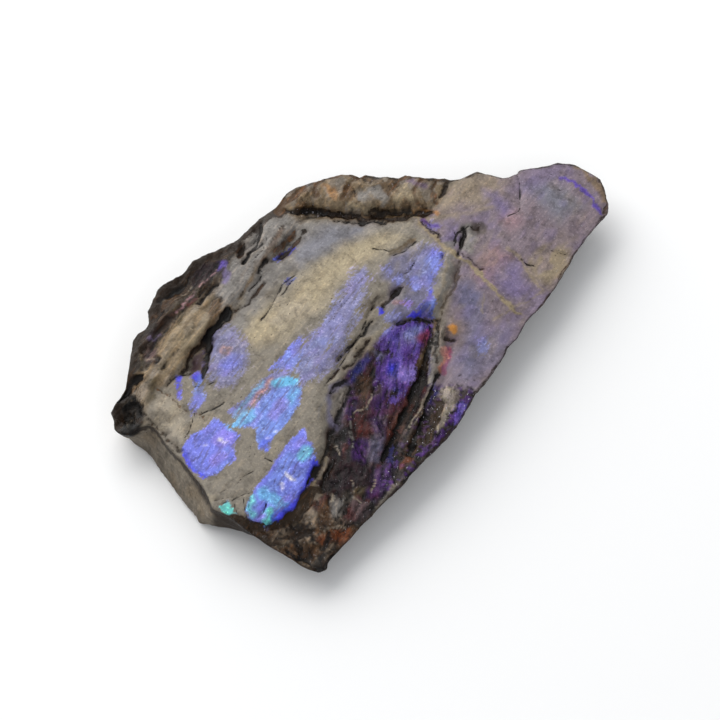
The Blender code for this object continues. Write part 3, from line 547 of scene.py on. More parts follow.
# Bands and lines over those: colour, half-width, softness of the edge, strength, places
BANDS = [
    # the left bank
    ("sepia", 0.2, 0.4, 0.4, [(-3.9, 16.2), (-5.7, 14.6), (-7.9, 13)]),
    ("tan", 0.16, 0.4, 0.5, [(-4.2, 15.7), (-6.1, 14.2), (-7.8, 13)]),
    ("sepia", 0.3, 0.5, 0.7, [(-10, 13.9), (-11.5, 12.4), (-13.1, 11)]),
    ("rose", 0.05, 0.07, 0.9, [(-8.2, 17.7), (-9.6, 17.1), (-11.1, 16.5)]),
    ("husk", 0.06, 0.08, 0.9, [(-11.6, 17.3), (-13, 16.6), (-14.1, 16.3)]),
    ("rose", 0.07, 0.1, 0.9, [(-11.6, 16.3), (-12.7, 15.8), (-13.9, 15.1), (-14.7, 14.8)]),
    ("wine", 0.16, 0.15, 0.8, [(-12.1, 15.3), (-13.1, 15)]),
    ("lavender", 0.35, 0.3, 0.8, [(-7.4, 16.9), (-8.2, 15.7)]),
    ("husk", 0.05, 0.08, 0.8, [(-21, 10.8), (-19.7, 10.6)]),
    # the back lip
    ("ochre", 0.4, 0.6, 0.5, [(8.4, 21.9), (8.3, 20.3)]),
    ("grey", 0.75, 0.5, 0.9, [(11.1, 18.7), (12.7, 18.8), (12.9, 16.9)]),
    ("beige", 0.6, 0.5, 0.9, [(14.1, 16.3), (15.6, 17.1), (16, 15.9)]),
    ("beige", 0.45, 0.5, 0.8, [(9.2, 18.1), (10.2, 16.8), (11.2, 16.6)]),
    ("tan", 0.5, 0.6, 0.8, [(4.8, 22), (6.6, 21.9)]),
    ("ochre", 0.3, 0.4, 0.7, [(15.2, 13.6), (16.5, 13.1), (17.2, 12.2)]),
    ("purple", 0.4, 0.6, 0.5, [(17, 17.6), (17.9, 16.4)]),
    ("purple", 0.3, 0.3, 0.8, [(15.4, 12.2), (15.8, 11)]),
    # the main face
    ("grey", 0.5, 0.6, 0.7, [(2.4, 1.8), (4.4, 2.6), (6.4, 3.6), (8.4, 4.6)]),
    ("sepia", 0.16, 0.2, 0.7, [(9.9, 10.3), (11.5, 10.2), (12.6, 10.5)]),
    ("sepia", 0.16, 0.3, 0.7, [(9.4, 9.9), (11.5, 9.9), (13, 10.3)]),
    ("film_and_sheen", 0.4, 0.4, 0.9, [(-10.4, 2.3), (-9.3, 2.3), (-8.2, 1.9)]),
    ("film_and_sheen", 0.55, 0.35, 0.9, [(-16.6, -5.6), (-13, -4.9), (-10.6, -4.7), (-8, -2.6)]),
    ("rose", 0.35, 0.4, 0.7, [(6.9, 3.9), (8, 2.8)]),
    # the ridge between the main face and the right-hand plate, and the old seams of the plate
    ("grey", 0.62, 0.4, 0.8, [(16.1, 7.6), (14.8, 5.7), (13.1, 3.8), (11.1, 1.7), (9.8, 0.6)]),
    ("beige", 0.2, 0.35, 0.5, [(15.9, 7.8), (14.5, 5.7), (12.8, 3.8), (10.8, 1.7), (9.5, 0.6)]),
    ("tan", 0.3, 0.3, 0.8, [(9.4, -0.4), (8, -1.8), (6.2, -3.4), (4.6, -5.2)]),
    ("beige", 0.24, 0.2, 1, [(14.5, 13.1), (14.9, 10.3), (15.6, 7.9), (16.2, 5.7), (16.9, 2.9),
        (17.2, 0.3), (17.8, -4.5)]),
    ("beige", 0.18, 0.25, 0.6, [(21.6, 4.2), (22, 2), (21.8, 0), (21.7, -3)]),
    ("beige", 0.12, 0.18, 0.5, [(15.8, 0), (15.2, -1.2), (14.5, -2.2)]),
    ("beige", 0.12, 0.18, 0.5, [(15, -3.5), (18, -3.2), (21.5, -3.2)]),
    ("beige", 0.3, 0.5, 0.5, [(14.6, 13.2), (17, 11.6), (20, 10.6), (23, 10)]),
    ("tan", 0.45, 0.5, 0.8, [(34.8, 10), (35.4, 7.4), (34.9, 4.6)]),
    ("grey", 0.6, 0.6, 0.8, [(17.4, 6.6), (18.6, 7.6), (19, 8.8)]),
    ("ochre", 0.34, 0.25, 0.9, [(10.6, -2.1), (10.5, -2.6)]),
    ("rust", 0.2, 0.3, 0.7, [(7.3, -5.4), (6.4, -6.4)]),
    ("salmon", 0.18, 0.3, 0.6, [(8.5, -4.8), (7.4, -5.7)]),
    ("pale", 0.12, 0.14, 0.9, [(6.6, -4.4), (5.5, -5.3), (4.4, -7.8), (2.7, -9.2), (1, -10.3),
        (-0.2, -11.3)]),
    ("pale", 0.1, 0.2, 0.8, [(4.4, -11.1), (3.1, -12.4), (2.2, -13.4)]),
    ("navy", 0.28, 0.25, 1, [(5.1, -7.2), (4.4, -8.7), (3.2, -9.8)]),
    ("purple", 0.3, 0.25, 1, [(5.9, -11.4), (5.1, -12.4), (3.5, -12.9)]),
    ("purple", 0.26, 0.25, 1, [(2.2, -14), (0.5, -14.5), (-0.7, -15)]),
    ("purple", 0.35, 0.45, 0.7, [(15.3, 12.2), (15.7, 11.2)]),
    # the hollow and the tip
    ("beige", 0.16, 0.12, 1, [(-9.9, -10.1), (-11.2, -11.3), (-12.7, -12.5), (-14.2, -13.9)]),
    ("grey", 0.05, 0.07, 0.9, [(-7.8, -7.6), (-8.2, -9.2), (-8.6, -10.6)]),
    ("husk", 0.06, 0.08, 0.9, [(-5, -6.9), (-4.3, -6.4), (-2.9, -6.8), (-2.1, -6), (-1.4, -5.3)]),
    ("grey", 0.05, 0.07, 0.9, [(-5.1, -6.8), (-5.8, -8.2), (-6.4, -9.6)]),
    ("husk", 0.1, 0.1, 0.9, [(-15.6, -19.5), (-16.6, -20.2)]),
    ("husk", 0.12, 0.12, 0.8, [(-15.6, -18.3), (-14.4, -18.1), (-13.3, -18.3)]),
    ("husk", 0.07, 0.1, 0.8, [(-16.5, -15.3), (-15.4, -15.3)]),
    ("grey", 0.04, 0.06, 0.8, [(-9.5, -14.3), (-10.4, -16.1)]),
    ("grey", 0.04, 0.06, 0.9, [(-8, -16.2), (-6.6, -15.1)]),
    ("film_and_sheen", 0.2, 0.2, 0.8, [(-8.4, -18.2), (-6.2, -17.4), (-4, -16.5)]),
    ("rust", 0.3, 0.4, 0.5, [(-3.6, -15.2), (-2.4, -14.7)]),
    ("grey", 0.1, 0.2, 0.8, [(-11, -15.6), (-13, -16.6)]),
    ("rust", 0.5, 0.5, 0.5, [(-15.4, -19), (-14, -19)]),
    ("olive", 0.5, 0.5, 0.8, [(-18, -14.6), (-16.6, -15.4)]),
    # last touches in all those places, which lie over the rest
    ("grey", 0.34, 0.3, 0.9, [(8.5, -2.1), (7.2, -3.8), (5.7, -5.8), (4.9, -7.1)]),
    ("dusk", 0.16, 0.2, 0.8, [(6.8, -3.9), (5.3, -6.1)]),
    # partly painted shade: sepia and bark along the crevice at the foot of the back lip
    ("sepia", 0.45, 0.8, 0.9, [(4.6, 20.4), (6.9, 17.6), (9.3, 16.1), (11.9, 14.9), (14.3, 13.5)]),
    ("bark", 0.22, 0.5, 0.6, [(5.6, 18.8), (8.2, 16.5), (11.3, 15.1)]),
    ("grey", 0.08, 0.1, 0.9, [(-5.7, -2.8), (-7, -3.9), (-8.4, -5.5)]),
    ("magenta", 0.26, 0.3, 0.7, [(8.8, -4.3), (7.7, -5.7), (6.6, -7)]),
    ("salmon", 0.1, 0.16, 0.8, [(9.1, -4.3), (8, -5.5)]),
    ("violet", 0.17, 0.22, 0.85, [(32.2, 9.5), (33.2, 8.2), (33.5, 6.6), (33.5, 4.9), (33.6, 3.1)]),
    ("film_and_sheen", 0.2, 0.16, 0.9, [(-9.9, -10.4), (-11.5, -11.6), (-12.7, -12.3)]),
    ("husk", 0.07, 0.08, 0.9, [(-6.8, -15.2), (-8.1, -16.3)]),
    ("husk", 0.06, 0.08, 0.9, [(-7.9, -7.7), (-8.3, -9.1), (-8.6, -10.6)]),
    ("grey", 0.06, 0.08, 0.9, [(-6, -8.4), (-7.1, -10.7)]),
    ("husk", 0.05, 0.08, 0.8, [(-9.3, -14.1), (-10.2, -16.1), (-9.5, -16.9)]),
    ("pale", 0.14, 0.16, 0.9, [(-11.9, -14.2), (-12.2, -15.2)]),
    ("husk", 0.06, 0.08, 0.8, [(-15.4, -18), (-14, -18.3), (-12.5, -18.9)]),
    ("salmon", 0.22, 0.24, 0.55, [(8.4, -4.2), (7.6, -5.3), (6.7, -6.1)]),
    ("magenta", 0.14, 0.2, 0.8, [(9.1, -4.4), (8.3, -5.4)]),
    ("pale", 0.12, 0.14, 0.9, [(4, -8.4), (2.4, -9.7), (0.3, -11.3)]),
    ("black", 0.1, 0.12, 0.9, [(6.9, -8.9), (7.4, -9.2), (8, -10), (8.4, -11.1)]),
    ("plum", 0.1, 0.1, 0.9, [(7.9, -8.1), (8, -8.1)]),
    ("plum", 0.09, 0.1, 0.9, [(9.7, -9.6), (9.8, -9.6)]),
    ("plum", 0.08, 0.1, 0.9, [(12.5, -5.5), (12.6, -5.6)]),
    ("plum", 0.08, 0.1, 0.8, [(8.7, -9.6), (8.8, -9.6)]),
    ("plum", 0.07, 0.1, 0.8, [(8.2, -8.9), (8.2, -9)]),
]
# Grooves, where the film is gone and the dark layer shows, and where they run at the foot of a scarp that
# faces away from the light, as under the back lip and along the left bank, their dark is partly painted
# shade: colour, half-width, strength, places
GROOVES = [
    ("black", 0.13, 0.9, [(-2, 18.5), (-3, 18.1), (-4.1, 17.9), (-5, 17.1)]),
    ("umber", 0.14, 0.9, [(-3.9, 19.3), (-5, 18.1)]),
    ("black", 0.17, 0.9, [(-9.1, 15.9), (-10.1, 15.6), (-11.2, 15.1), (-11.9, 14.6)]),
    ("umber", 0.1, 0.8, [(-9.6, 14.2), (-10.1, 13.7)]),
    ("black", 0.2, 0.9, [(-2.7, 16.1), (-3.8, 15.5), (-4.4, 14.9)]),
    ("umber", 0.1, 1, [(-4.5, 13.4), (-6.1, 12.6), (-7.8, 11.9), (-9.4, 11.7)]),
    ("black", 0.42, 1, [(-9.9, 12), (-11.3, 11.3), (-12.9, 10.3), (-14.1, 9.4)]),
    ("black", 0.26, 1, [(-13.8, 9.1), (-14.9, 7.7), (-16.3, 5.7)]),
    ("umber", 0.22, 1, [(-14.4, 9.4), (-15.5, 9.3), (-16.3, 8.7), (-17.4, 7.7), (-18.5, 7.3)]),
    ("black", 0.1, 0.9, [(-20.7, 6.5), (-19.5, 7.1), (-18.5, 7.3), (-17.4, 6.9)]),
    ("black", 0.26, 1, [(-19.3, 10.4), (-19.9, 10.1)]),
    ("black", 0.4, 0.9, [(-25.6, 7.7), (-23.8, 8.7), (-22.6, 9.1)]),
    ("black", 0.2, 0.8, [(-11.5, 18), (-13.4, 17.2), (-15.7, 17.2)]),
    ("umber", 0.3, 0.8, [(-16.1, 14.6), (-17.6, 13.6), (-20.4, 12.1)]),
    ("umber", 0.26, 1, [(-1.3, 15.5), (0.1, 16.1), (1.6, 16.9), (2.9, 17.6)]),
    ("brown", 0.3, 0.6, [(-1.2, 16.6), (0.3, 17.2), (2, 18)]),
    ("umber", 0.36, 0.8, [(2.5, 21), (3.8, 20.2), (5.3, 19.4), (6.8, 18.2)]),
    ("black", 0.16, 0.9, [(2.7, 20.7), (3.9, 20), (5.4, 18.9), (6.9, 17.8)]),
    ("umber", 0.34, 1, [(6.8, 18.2), (8.4, 16.8), (9.7, 15.5), (11.7, 14.8), (13.2, 13.8), (14.9, 13.2),
        (16.7, 12.6)]),
    ("black", 0.16, 1, [(6.5, 17.2), (8, 16.1), (9.5, 15.1), (11.4, 14.3)]),
    ("umber", 0.34, 0.9, [(11, 16.4), (12.3, 15.5), (13.4, 14.5)]),
    ("brown", 0.22, 0.6, [(12.7, 21.5), (10.9, 20.8), (9, 19.5)]),
    ("brown", 0.16, 0.7, [(17.1, 18.6), (15.3, 18.3), (13.7, 17.3)]),
    ("brown", 0.45, 0.8, [(2.1, 21.7), (3.8, 22.4), (5.7, 22.8)]),
    ("brown", 0.3, 0.7, [(7.7, 23), (6.5, 21.2)]),
    ("brown", 0.2, 0.8, [(9.9, 22.7), (11.5, 22.1), (13.2, 21.5)]),
    ("brown", 0.2, 0.6, [(18.5, 17.4), (16.6, 16.5), (16, 14.2)]),
    ("brown", 0.16, 0.6, [(20.2, 16.8), (18.4, 15.5), (17.8, 13.5)]),
    ("umber", 0.2, 0.9, [(20.4, 15.3), (18.7, 14.3)]),
    ("umber", 0.12, 0.9, [(15.1, 12), (15.3, 10.4), (15.8, 8.6)]),
    ("umber", 0.08, 0.8, [(16.6, 6.6), (17.1, 4.8), (17.4, 3)]),
    ("brown", 0.07, 0.8, [(-21.6, 7.2), (-20.6, 5), (-20.2, 3), (-19.2, 1.8), (-18.8, 0.6)]),
    ("bark", 0.14, 0.75, [(15.9, 5.4), (14.4, 3.3), (12.7, 1.7), (10.9, 0.5), (9.6, -1)]),
    ("umber", 0.18, 0.9, [(8.4, 5.4), (7.3, 5.1), (6.2, 4.6), (5.2, 4)]),
    ("black", 0.12, 1, [(8.4, 5.2), (7.3, 4.8), (6.2, 4.3), (5.2, 3.8)]),
    ("black", 0.12, 0.9, [(14.9, 7.1), (14.2, 6)]),
    ("black", 0.13, 1, [(5.4, 1.3), (6, 1.2), (7, 1), (7.9, 0.4), (9.6, -0.7)]),
    ("black", 0.12, 1, [(8.5, -0.9), (7, -3), (5.4, -4.9)]),
    ("umber", 0.3, 1, [(5.4, -4.9), (3.9, -6.3), (2.4, -7.5), (0.2, -9.2), (-2.8, -11.7)]),
    ("black", 0.26, 1, [(4.4, -5.9), (2.1, -7.9), (-0.2, -9.6), (-3, -11.9), (-4.7, -13.5)]),
    ("umber", 0.1, 0.9, [(9.5, -0.8), (7.8, -3.4), (6.5, -5.3)]),
    ("bark", 0.2, 0.9, [(36.2, 8.4), (35.8, 6.4), (35.1, 4.2), (34, 2.8)]),
    ("black", 0.12, 0.9, [(18.9, 9.2), (18.2, 8.2), (17.3, 7.5), (16.9, 6.5), (16.2, 6.1)]),
    ("umber", 0.16, 0.9, [(19.7, 8.8), (19.9, 7.8)]),
    ("umber", 0.25, 0.9, [(9.1, -3.1), (9.8, -3.8)]),
    ("black", 0.14, 1, [(3.1, 2.9), (1.4, 2), (-0.7, 1), (-2.6, 0.3)]),
    ("umber", 0.22, 1, [(1.5, 0.9), (0.1, 0), (-1.4, -0.9), (-2.4, -0.9)]),
    ("umber", 0.1, 1, [(-3.4, -0.9), (-4.9, -1.6)]),
    ("black", 0.2, 0.9, [(-3.4, -2.5), (-4.5, -2.6), (-5.3, -3.1)]),
    ("black", 0.16, 0.9, [(-3.3, -3.6), (-4.9, -5.1), (-7, -6.9)]),
    ("umber", 0.12, 0.8, [(5.5, 5.6), (4.1, 4.5), (2.9, 3.7)]),
    ("black", 0.34, 1, [(-21.1, -12.7), (-20.6, -13.7), (-19.6, -14.7), (-17.9, -15), (-16.4, -14.4),
        (-14.7, -13.5), (-13, -12), (-11.6, -10.7)]),
    ("black", 0.08, 1, [(-18.5, -11.9), (-19.4, -12.7), (-20.1, -13.3)]),
    ("black", 0.16, 1, [(-19.7, -18.3), (-19, -19.9), (-18, -21.2), (-17.5, -22.4)]),
    ("black", 0.14, 0.9, [(-18.1, -17.8), (-18.1, -19.1), (-18.7, -19.9)]),
    ("black", 0.12, 0.9, [(-19, -17), (-19.6, -16.7)]),
    ("black", 0.2, 0.9, [(-16.3, -20.1), (-15.3, -19.3), (-14.4, -18.7)]),
    ("black", 0.14, 0.9, [(-7.8, -7.6), (-9.4, -9.4), (-11.4, -11), (-13.4, -13), (-15.4, -14.4)]),
    ("black", 0.14, 0.9, [(-9.6, -10.8), (-11, -12), (-12.6, -13.4)]),
    ("black", 0.3, 1, [(-4, -16.9), (-2.2, -16.1)]),
    ("black", 0.26, 1, [(-2, -14), (0, -12.4), (2, -10.5), (4.5, -8), (6, -6.6)]),
    ("bark", 0.4, 1, [(0.6, -13.6), (2.4, -11.9), (4.2, -10.2)]),
    ("black", 0.3, 1, [(-18.4, -21.8), (-15.3, -21.5)]),
    ("black", 0.3, 1, [(-19.8, -14.5), (-18.2, -15.2), (-16.4, -15.4), (-15.4, -14.8)]),
    ("umber", 0.3, 0.9, [(-18.6, -17), (-17.2, -17.6), (-15.6, -17.2)]),
    ("umber", 0.14, 0.8, [(-24.4, 4.4), (-23.9, 2), (-23.7, 0), (-23, -1.6)]),
    ("bark", 0.55, 0.95, [(-22.3, -12), (-21.2, -13.5), (-20.1, -15), (-18.5, -15.2), (-16.9, -14.8),
        (-15.3, -14.2), (-13.2, -13.1)]),
]
GROOVE_DEPTH = {"black": 0.32, "umber": 0.24, "bark": 0.12, "brown": 0.12}
GROOVE_REACH = 0.9
RAGGED = 0.30
RIM_LEAST = 0.12
RIM_WIDENING = 0.16
RIM_ON_BANK = 0.8
RIM_ON_LIP = 0.15
RIM_ON_PLATE = 0.45

lamina = np.array((math.cos(math.radians(GRAIN_TURN)), math.sin(math.radians(GRAIN_TURN))))
brushed = seen + RAGGED * wander + RAGGED * streak[:, None] * lamina
ground = patched(np.tile(light_of("film_and_sheen"), (len(points), 1)), AREAS)

stain = grain(31.7, 2.4, seen, 1.6, GRAIN_TURN) + 0.6 * grain(35.1, 0.9, seen, 2.0, GRAIN_TURN)
other_stain = grain(71.3, 1.5, seen, 1.8, GRAIN_TURN) + 0.6 * grain(77.9, 0.7, seen, 2.2, GRAIN_TURN)
pool = grain(51.3, 1.5, seen, 1.7, HOLLOW_TURN) + 0.5 * grain(57.7, 0.6, seen, 1.7, HOLLOW_TURN)
other_pool = grain(91.3, 1.3, seen, 1.9, HOLLOW_TURN) + 0.5 * grain(97.7, 0.6, seen, 1.7, HOLLOW_TURN)
banks = np.clip(left_bank + back_lip, 0, 1)
plate = part(PLATE, -0.5, 1.0) * on_top
ground = layered(ground, [
    ("cream", 0.30 * ramp(stain, 0.1, 0.7) * (1 - plate)),
    ("slate", 0.25 * ramp(-other_stain, 0.15, 0.9) * (1 - plate)),
    ("olive", 0.45 * banks * ramp(stain, 0.35, 0.65)),
    ("brown", 0.55 * banks * ramp(other_stain, 0.45, 0.70)),
    ("grey", 0.45 * banks * ramp(splinter_own, 0.66, 0.76)),
    ("brown", 0.55 * banks * ramp(splinter_own, 0.20, 0.08)),
    ("brown", 0.40 * back_lip * ramp(stain + other_stain, 0.4, 0.8)),
    ("beige", 0.22 * plate * ramp(stain, 0.10, 0.6)),
    ("lavender", 0.25 * plate * ramp(other_stain, 0.05, 0.5)),
    ("purple", 0.75 * hollow * ramp(pool, 0.05, 0.40) * ramp(seen[:, 1], -14, -5)),
    ("wine", 0.75 * hollow * ramp(other_pool, 0.05, 0.35) * ramp(seen[:, 1], 0, -4)),
    ("black", 0.85 * hollow * ramp(-pool - 0.6 * other_pool, 0.05, 0.40)),
    ("mauve", 0.30 * hollow * ramp(flake_own, 0.86, 0.88)),
    ("black", 0.60 * hollow * ramp(flake_own, 0.22, 0.20)),
    ("umber", 0.85 * lower_edge * ramp(other_pool - 0.30 * (seen[:, 1] + 9), 0.05, 0.35)),
    ("purple", 0.80 * lower_edge * ramp(bead_own, 0.72, 0.76)),
    ("black", 0.85 * lower_edge * ramp(bead_own, 0.34, 0.30)),
    ("husk", 0.25 * tip * ramp(chunk_own, 0.90, 0.92)),
    ("brown", 0.80 * tip * ramp(chunk_own, 0.60, 0.62) * ramp(chunk_own, 0.92, 0.90)),
    ("black", 0.80 * tip * ramp(chunk_own, 0.42, 0.40)),
])
ground = patched(ground, PIECES)
for name, half, soft, strength, path in BANDS:
    gap = half * uneven - off_path(path, brushed)
    ground = laid(ground, name, strength * ramp(gap, -soft / 2, soft / 2))

dark = np.tile(light_of("umber"), (len(points), 1))
dark_edge = np.full(len(points), -GROOVE_REACH)
dark_strength = np.zeros(len(points))
groove_depth = np.zeros(len(points))
groove_halo = np.zeros(len(points))
for name, half, strength, path in GROOVES:
    gap = half * uneven - off_path(path, brushed)
    dark = laid(dark, name, ramp(gap, -0.35, 0.02))
    dark_strength = np.maximum(dark_strength, strength * ramp(gap, -0.8, -0.3))
    dark_edge = np.maximum(dark_edge, np.clip(gap, -GROOVE_REACH, GROOVE_REACH))
    groove_depth = np.maximum(groove_depth, GROOVE_DEPTH[name] * ramp(gap, -0.25, 0.25))
    groove_halo = np.maximum(groove_halo, min(1, 4 * half) * strength * ramp(gap, -0.8, 0.0))
# The film turns brown beside every groove, fading out within 0.8 mm of it
ground = laid(ground, "brown", 0.50 * groove_halo * (1 - 0.7 * plate) * ramp(stain + other_stain, -0.9, 0.3))

# A dark line of broken shell follows the rim: widest along the left bank, thinnest round the left end
rim_half = RIM_WIDENING * uneven ** 2 * ramp(seen[:, 0] + 0.6 * seen[:, 1], -24, -16)
rim_half = rim_half + uneven * (RIM_ON_BANK * left_bank + RIM_ON_LIP * back_lip) + RIM_LEAST
rim_half = rim_half * (1 - RIM_ON_PLATE * plate)
rim_gap = np.clip(rim_half - from_rim, -GROOVE_REACH, GROOVE_REACH)
dark_edge = np.maximum(dark_edge, rim_gap)
dark_strength = np.maximum(dark_strength, 0.9 * ramp(rim_gap, -0.5, -0.1))
dark_edge = np.where(on_top > 0.5, dark_edge, -GROOVE_REACH)

# The fire: the play of colour in the nacre where the film is thin, mostly blue, with cyan where the
# sheets are thickest and violet in the hollow. Each patch has its colour, strength, crispness, outline.

FIRE = [
    ("haze", 0.6, 0.4, [(-7, 2.2), (-5, 4.2), (-2, 5.2), (0, 6.6), (3, 8.6), (5.4, 10), (6, 8.6),
        (3, 6.4), (0, 4), (-3, 2), (-6, 0.9)]),
    ("haze", 0.7, 0.5, [(-6, 3.6), (-3.4, 4.4), (-1, 5.6), (0.4, 6.4), (0.4, 5), (-2, 3), (-4.6, 2.2)]),
    ("haze", 0.6, 0.5, [(0.4, 4.4), (2.4, 5.6), (3.4, 6.8), (4.4, 8), (3.4, 8.2), (1.4, 6.8), (-0.6, 5)]),
    ("blue", 0.97, 1, [(-22.9, -1.5), (-21.5, -0.3), (-19.5, -0.3), (-18, 0.4), (-17.4, -0.3), (-17, -2),
        (-16.5, -3), (-18, -3.7), (-18.5, -5.5), (-20.5, -6), (-22.6, -6), (-23.5, -4)]),
    ("sky", 0.97, 1, [(-17, -1.3), (-14, -0.8), (-12, 0.2), (-10, 1.2), (-8.5, 1.3), (-7.5, 0.3),
        (-8, -1), (-9, -2.5), (-11, -4), (-13.5, -5), (-15, -6.2), (-15.7, -5.8), (-15.3, -4),
        (-14.5, -3), (-16, -2.2)]),
    ("blue", 0.9, 0.8, [(-9.7, 2.9), (-7, 4.1), (-4.5, 5.1), (-5, 3.8), (-6.5, 2), (-7.6, 1.7)]),
    ("orchid", 0.85, 0.7, [(-14.6, 5.2), (-13.6, 6.4), (-12.4, 6.8), (-11.6, 6), (-12.2, 5),
        (-13.4, 4.4)]),
    ("haze", 0.5, 0.5, [(-16, 4.6), (-15.2, 7), (-12.6, 9), (-10.6, 9.2), (-10, 7), (-11.4, 5),
        (-14, 3.6)]),
    ("blue", 0.97, 1, [(-10.4, -5.5), (-10.4, -7.3), (-10.8, -8.9), (-11.2, -10.7), (-12.6, -12),
        (-13.9, -13), (-15.1, -13.7), (-16.6, -14.6), (-17.7, -14.9), (-18.9, -15.1), (-20.1, -15),
        (-20.6, -14.1), (-21.1, -13.1), (-20.5, -11.4), (-19.6, -10.5), (-18.4, -9.8), (-16.9, -8.9),
        (-15.6, -8.2), (-14.3, -7.2), (-13.3, -6.8), (-12.1, -6.3)]),
    ("teal", 0.9, 1, [(-23.1, -9.9), (-21.8, -9.8), (-21.7, -11.4), (-22.8, -11.2)]),
    ("deep", 0.85, 1, [(-18.9, 7.3), (-18.4, 7.1), (-19.9, 4.2), (-20.4, 4.4)]),
    ("royal", 0.9, 1, [(-17.6, 6.3), (-16.6, 6.6), (-16.3, 5.5), (-17.2, 4.9)]),
    ("sky", 0.75, 0.7, [(-17.6, 5.3), (-16.8, 4.9), (-17.7, 2.9), (-18.8, 2.6), (-18.8, 3.8)]),
    ("blue", 0.6, 0.7, [(-18.2, 3.8), (-17.9, 2.8), (-19, 2.2), (-20, 2), (-19.4, 3.2)]),
    ("blue", 0.75, 0.9, [(-16.4, 0.2), (-13, 1.3), (-10, 2.4), (-9.8, 1.9), (-12.6, 0.5), (-16, -0.4)]),
    ("blue", 0.75, 0.6, [(14.8, 7.5), (14.4, 7.9), (12.8, 6.9), (12.8, 5.6), (14, 5.9)]),
    ("haze", 0.6, 0.6, [(13.6, 6.4), (12.4, 4.6), (10.8, 3.3), (10.6, 4.6), (12.4, 6.6)]),
    ("blue", 0.75, 0.6, [(9.2, 5.6), (10.3, 5.6), (10.5, 4.4), (9.5, 4.2)]),
    ("haze", 0.7, 0.6, [(8.3, 6.8), (9.2, 6.9), (9.2, 5.8), (8.3, 5.8)]),
    ("haze", 0.6, 0.6, [(7.9, 8.7), (8.8, 8.7), (8.7, 7.7), (7.8, 7.8)]),
    ("haze", 0.55, 0.5, [(4.6, 2.6), (6, 2.8), (6.4, 1.8), (5, 1.4)]),
    ("orchid", 0.75, 0.7, [(7.4, 3.6), (8.4, 3.4), (8.4, 2.6), (7.6, 2.4)]),
    ("navy", 0.95, 1, [(11.3, 3.5), (11, 2.8), (10.8, 1.9), (9.6, 0.4), (9.4, -0.1), (7.6, 1), (8.6, 2),
        (9.7, 2.6)]),
    ("royal", 0.9, 1, [(6.9, 1.5), (7.8, 1.9), (8.4, 1.4), (7.7, 0.7)]),
    ("navy", 0.9, 1, [(-3, 12.1), (-2, 12.8), (-1.2, 12.3), (-2.2, 11.7)]),
    ("royal", 0.8, 0.8, [(-2, 15.2), (-0.4, 15.5), (1, 16.1), (0.8, 16.5), (-0.6, 16), (-1.9, 15.8)]),
    ("royal", 0.9, 1, [(4.6, 4.2), (5.3, 4), (5, 3.3), (4.4, 3.4)]),
    ("violet", 0.7, 0.7, [(3.7, 1.3), (5.9, 1.3), (8.9, -0.4), (7.9, -2), (5.7, -3.3), (4.2, -2.4),
        (3.2, -1.5), (1.9, -0.7)]),
    ("violet", 0.6, 0.5, [(1.3, -1.7), (3.7, -2.4), (5.2, -3.6), (3.2, -6.2), (1.5, -7), (0.3, -5.6),
        (0, -4.3)]),
    ("deep", 0.75, 0.8, [(2.2, -2.8), (3.7, -2.4), (3.3, -3.4), (1.9, -4.5), (1.4, -3.9)]),
    ("haze", 0.55, 0.6, [(5.5, -0.4), (7.2, -0.4), (6.2, -2), (4.7, -2.4)]),
    ("orchid", 0.3, 0.5, [(3.1, -4), (4.4, -4.4), (3.1, -6.1), (2.3, -5.6)]),
    ("magenta", 0.6, 0.8, [(6.5, -1.5), (8, -1.2), (6.9, -2.9), (5.7, -3.3)]),
    ("navy", 0.8, 0.8, [(1, -6.3), (2, -7), (1.2, -7.4), (0.5, -6.9)]),
    ("violet", 0.7, 0.8, [(-0.3, -6.7), (0.8, -7.3), (0.1, -8.1), (-0.7, -7.5)]),
    ("navy", 0.5, 0.7, [(-3.8, -12.6), (-3, -12.5), (-4.1, -14.2), (-4.7, -14.1)]),
    ("violet", 0.35, 0.7, [(16, 11.6), (16.6, 10.6), (15.8, 10.2), (15.2, 11.2)]),
    ("haze", 0.6, 0.5, [(-5.4, 3.9), (-2.5, 4.6), (-2.7, 1.9), (-5.3, 0), (-7.7, -0.7), (-7.2, 1.4)]),
    ("violet", 0.6, 0.6, [(3.5, -0.9), (6.2, -2.5), (4.8, -4.3), (2.4, -2.9)]),
    ("haze", 0.35, 0.3, [(-12.9, 10.3), (-11.3, 10.9), (-10.1, 9.3), (-10.4, 7.1), (-11.6, 4.7),
        (-13.6, 3), (-15.4, 3.4), (-16, 5), (-15.2, 7.3), (-14, 9.1)]),
    ("haze", 0.45, 0.3, [(4.7, 9.9), (6.1, 9.7), (5.9, 8), (3.7, 6), (1.5, 3.9), (-0.9, 1.6),
        (-3.3, -0.1), (-5.5, -0.8), (-5.5, 0.7), (-3.4, 2.3), (-1.1, 4.1), (1.8, 7.1)]),
    ("haze", 0.7, 0.6, [(-16.2, -0.4), (-13.7, 0.9), (-11.2, 1.9), (-8.6, 2.5), (-7.9, 1.5), (-10, 0.9),
        (-12.1, 0.3), (-14.1, -0.7), (-15.9, -1.7)]),
    ("haze", 0.32, 0.4, [(13.7, 9.3), (14.7, 8.4), (15, 7.2), (13.7, 5.7), (12.5, 4.8), (11.4, 4.1),
        (10.3, 4.8), (9.5, 4.9), (9.7, 6.1), (11.1, 7.5), (12.2, 8.5)]),
    ("blue", 0.5, 0.7, [(14.1, 8), (15.1, 7.1), (13.7, 5.7), (12.5, 4.8), (11.6, 4.3), (11.9, 5.1),
        (12.6, 6), (13.4, 7.1)]),
    ("haze", 0.45, 0.5, [(12.1, -5), (13, -5.3), (12.2, -7), (11.1, -7.1)]),
    ("violet", 0.65, 0.8, [(5.5, -11.1), (6.5, -11.4), (7.1, -12), (5.6, -13.2), (4.1, -13.9),
        (3.9, -13.2), (5, -12)]),
]
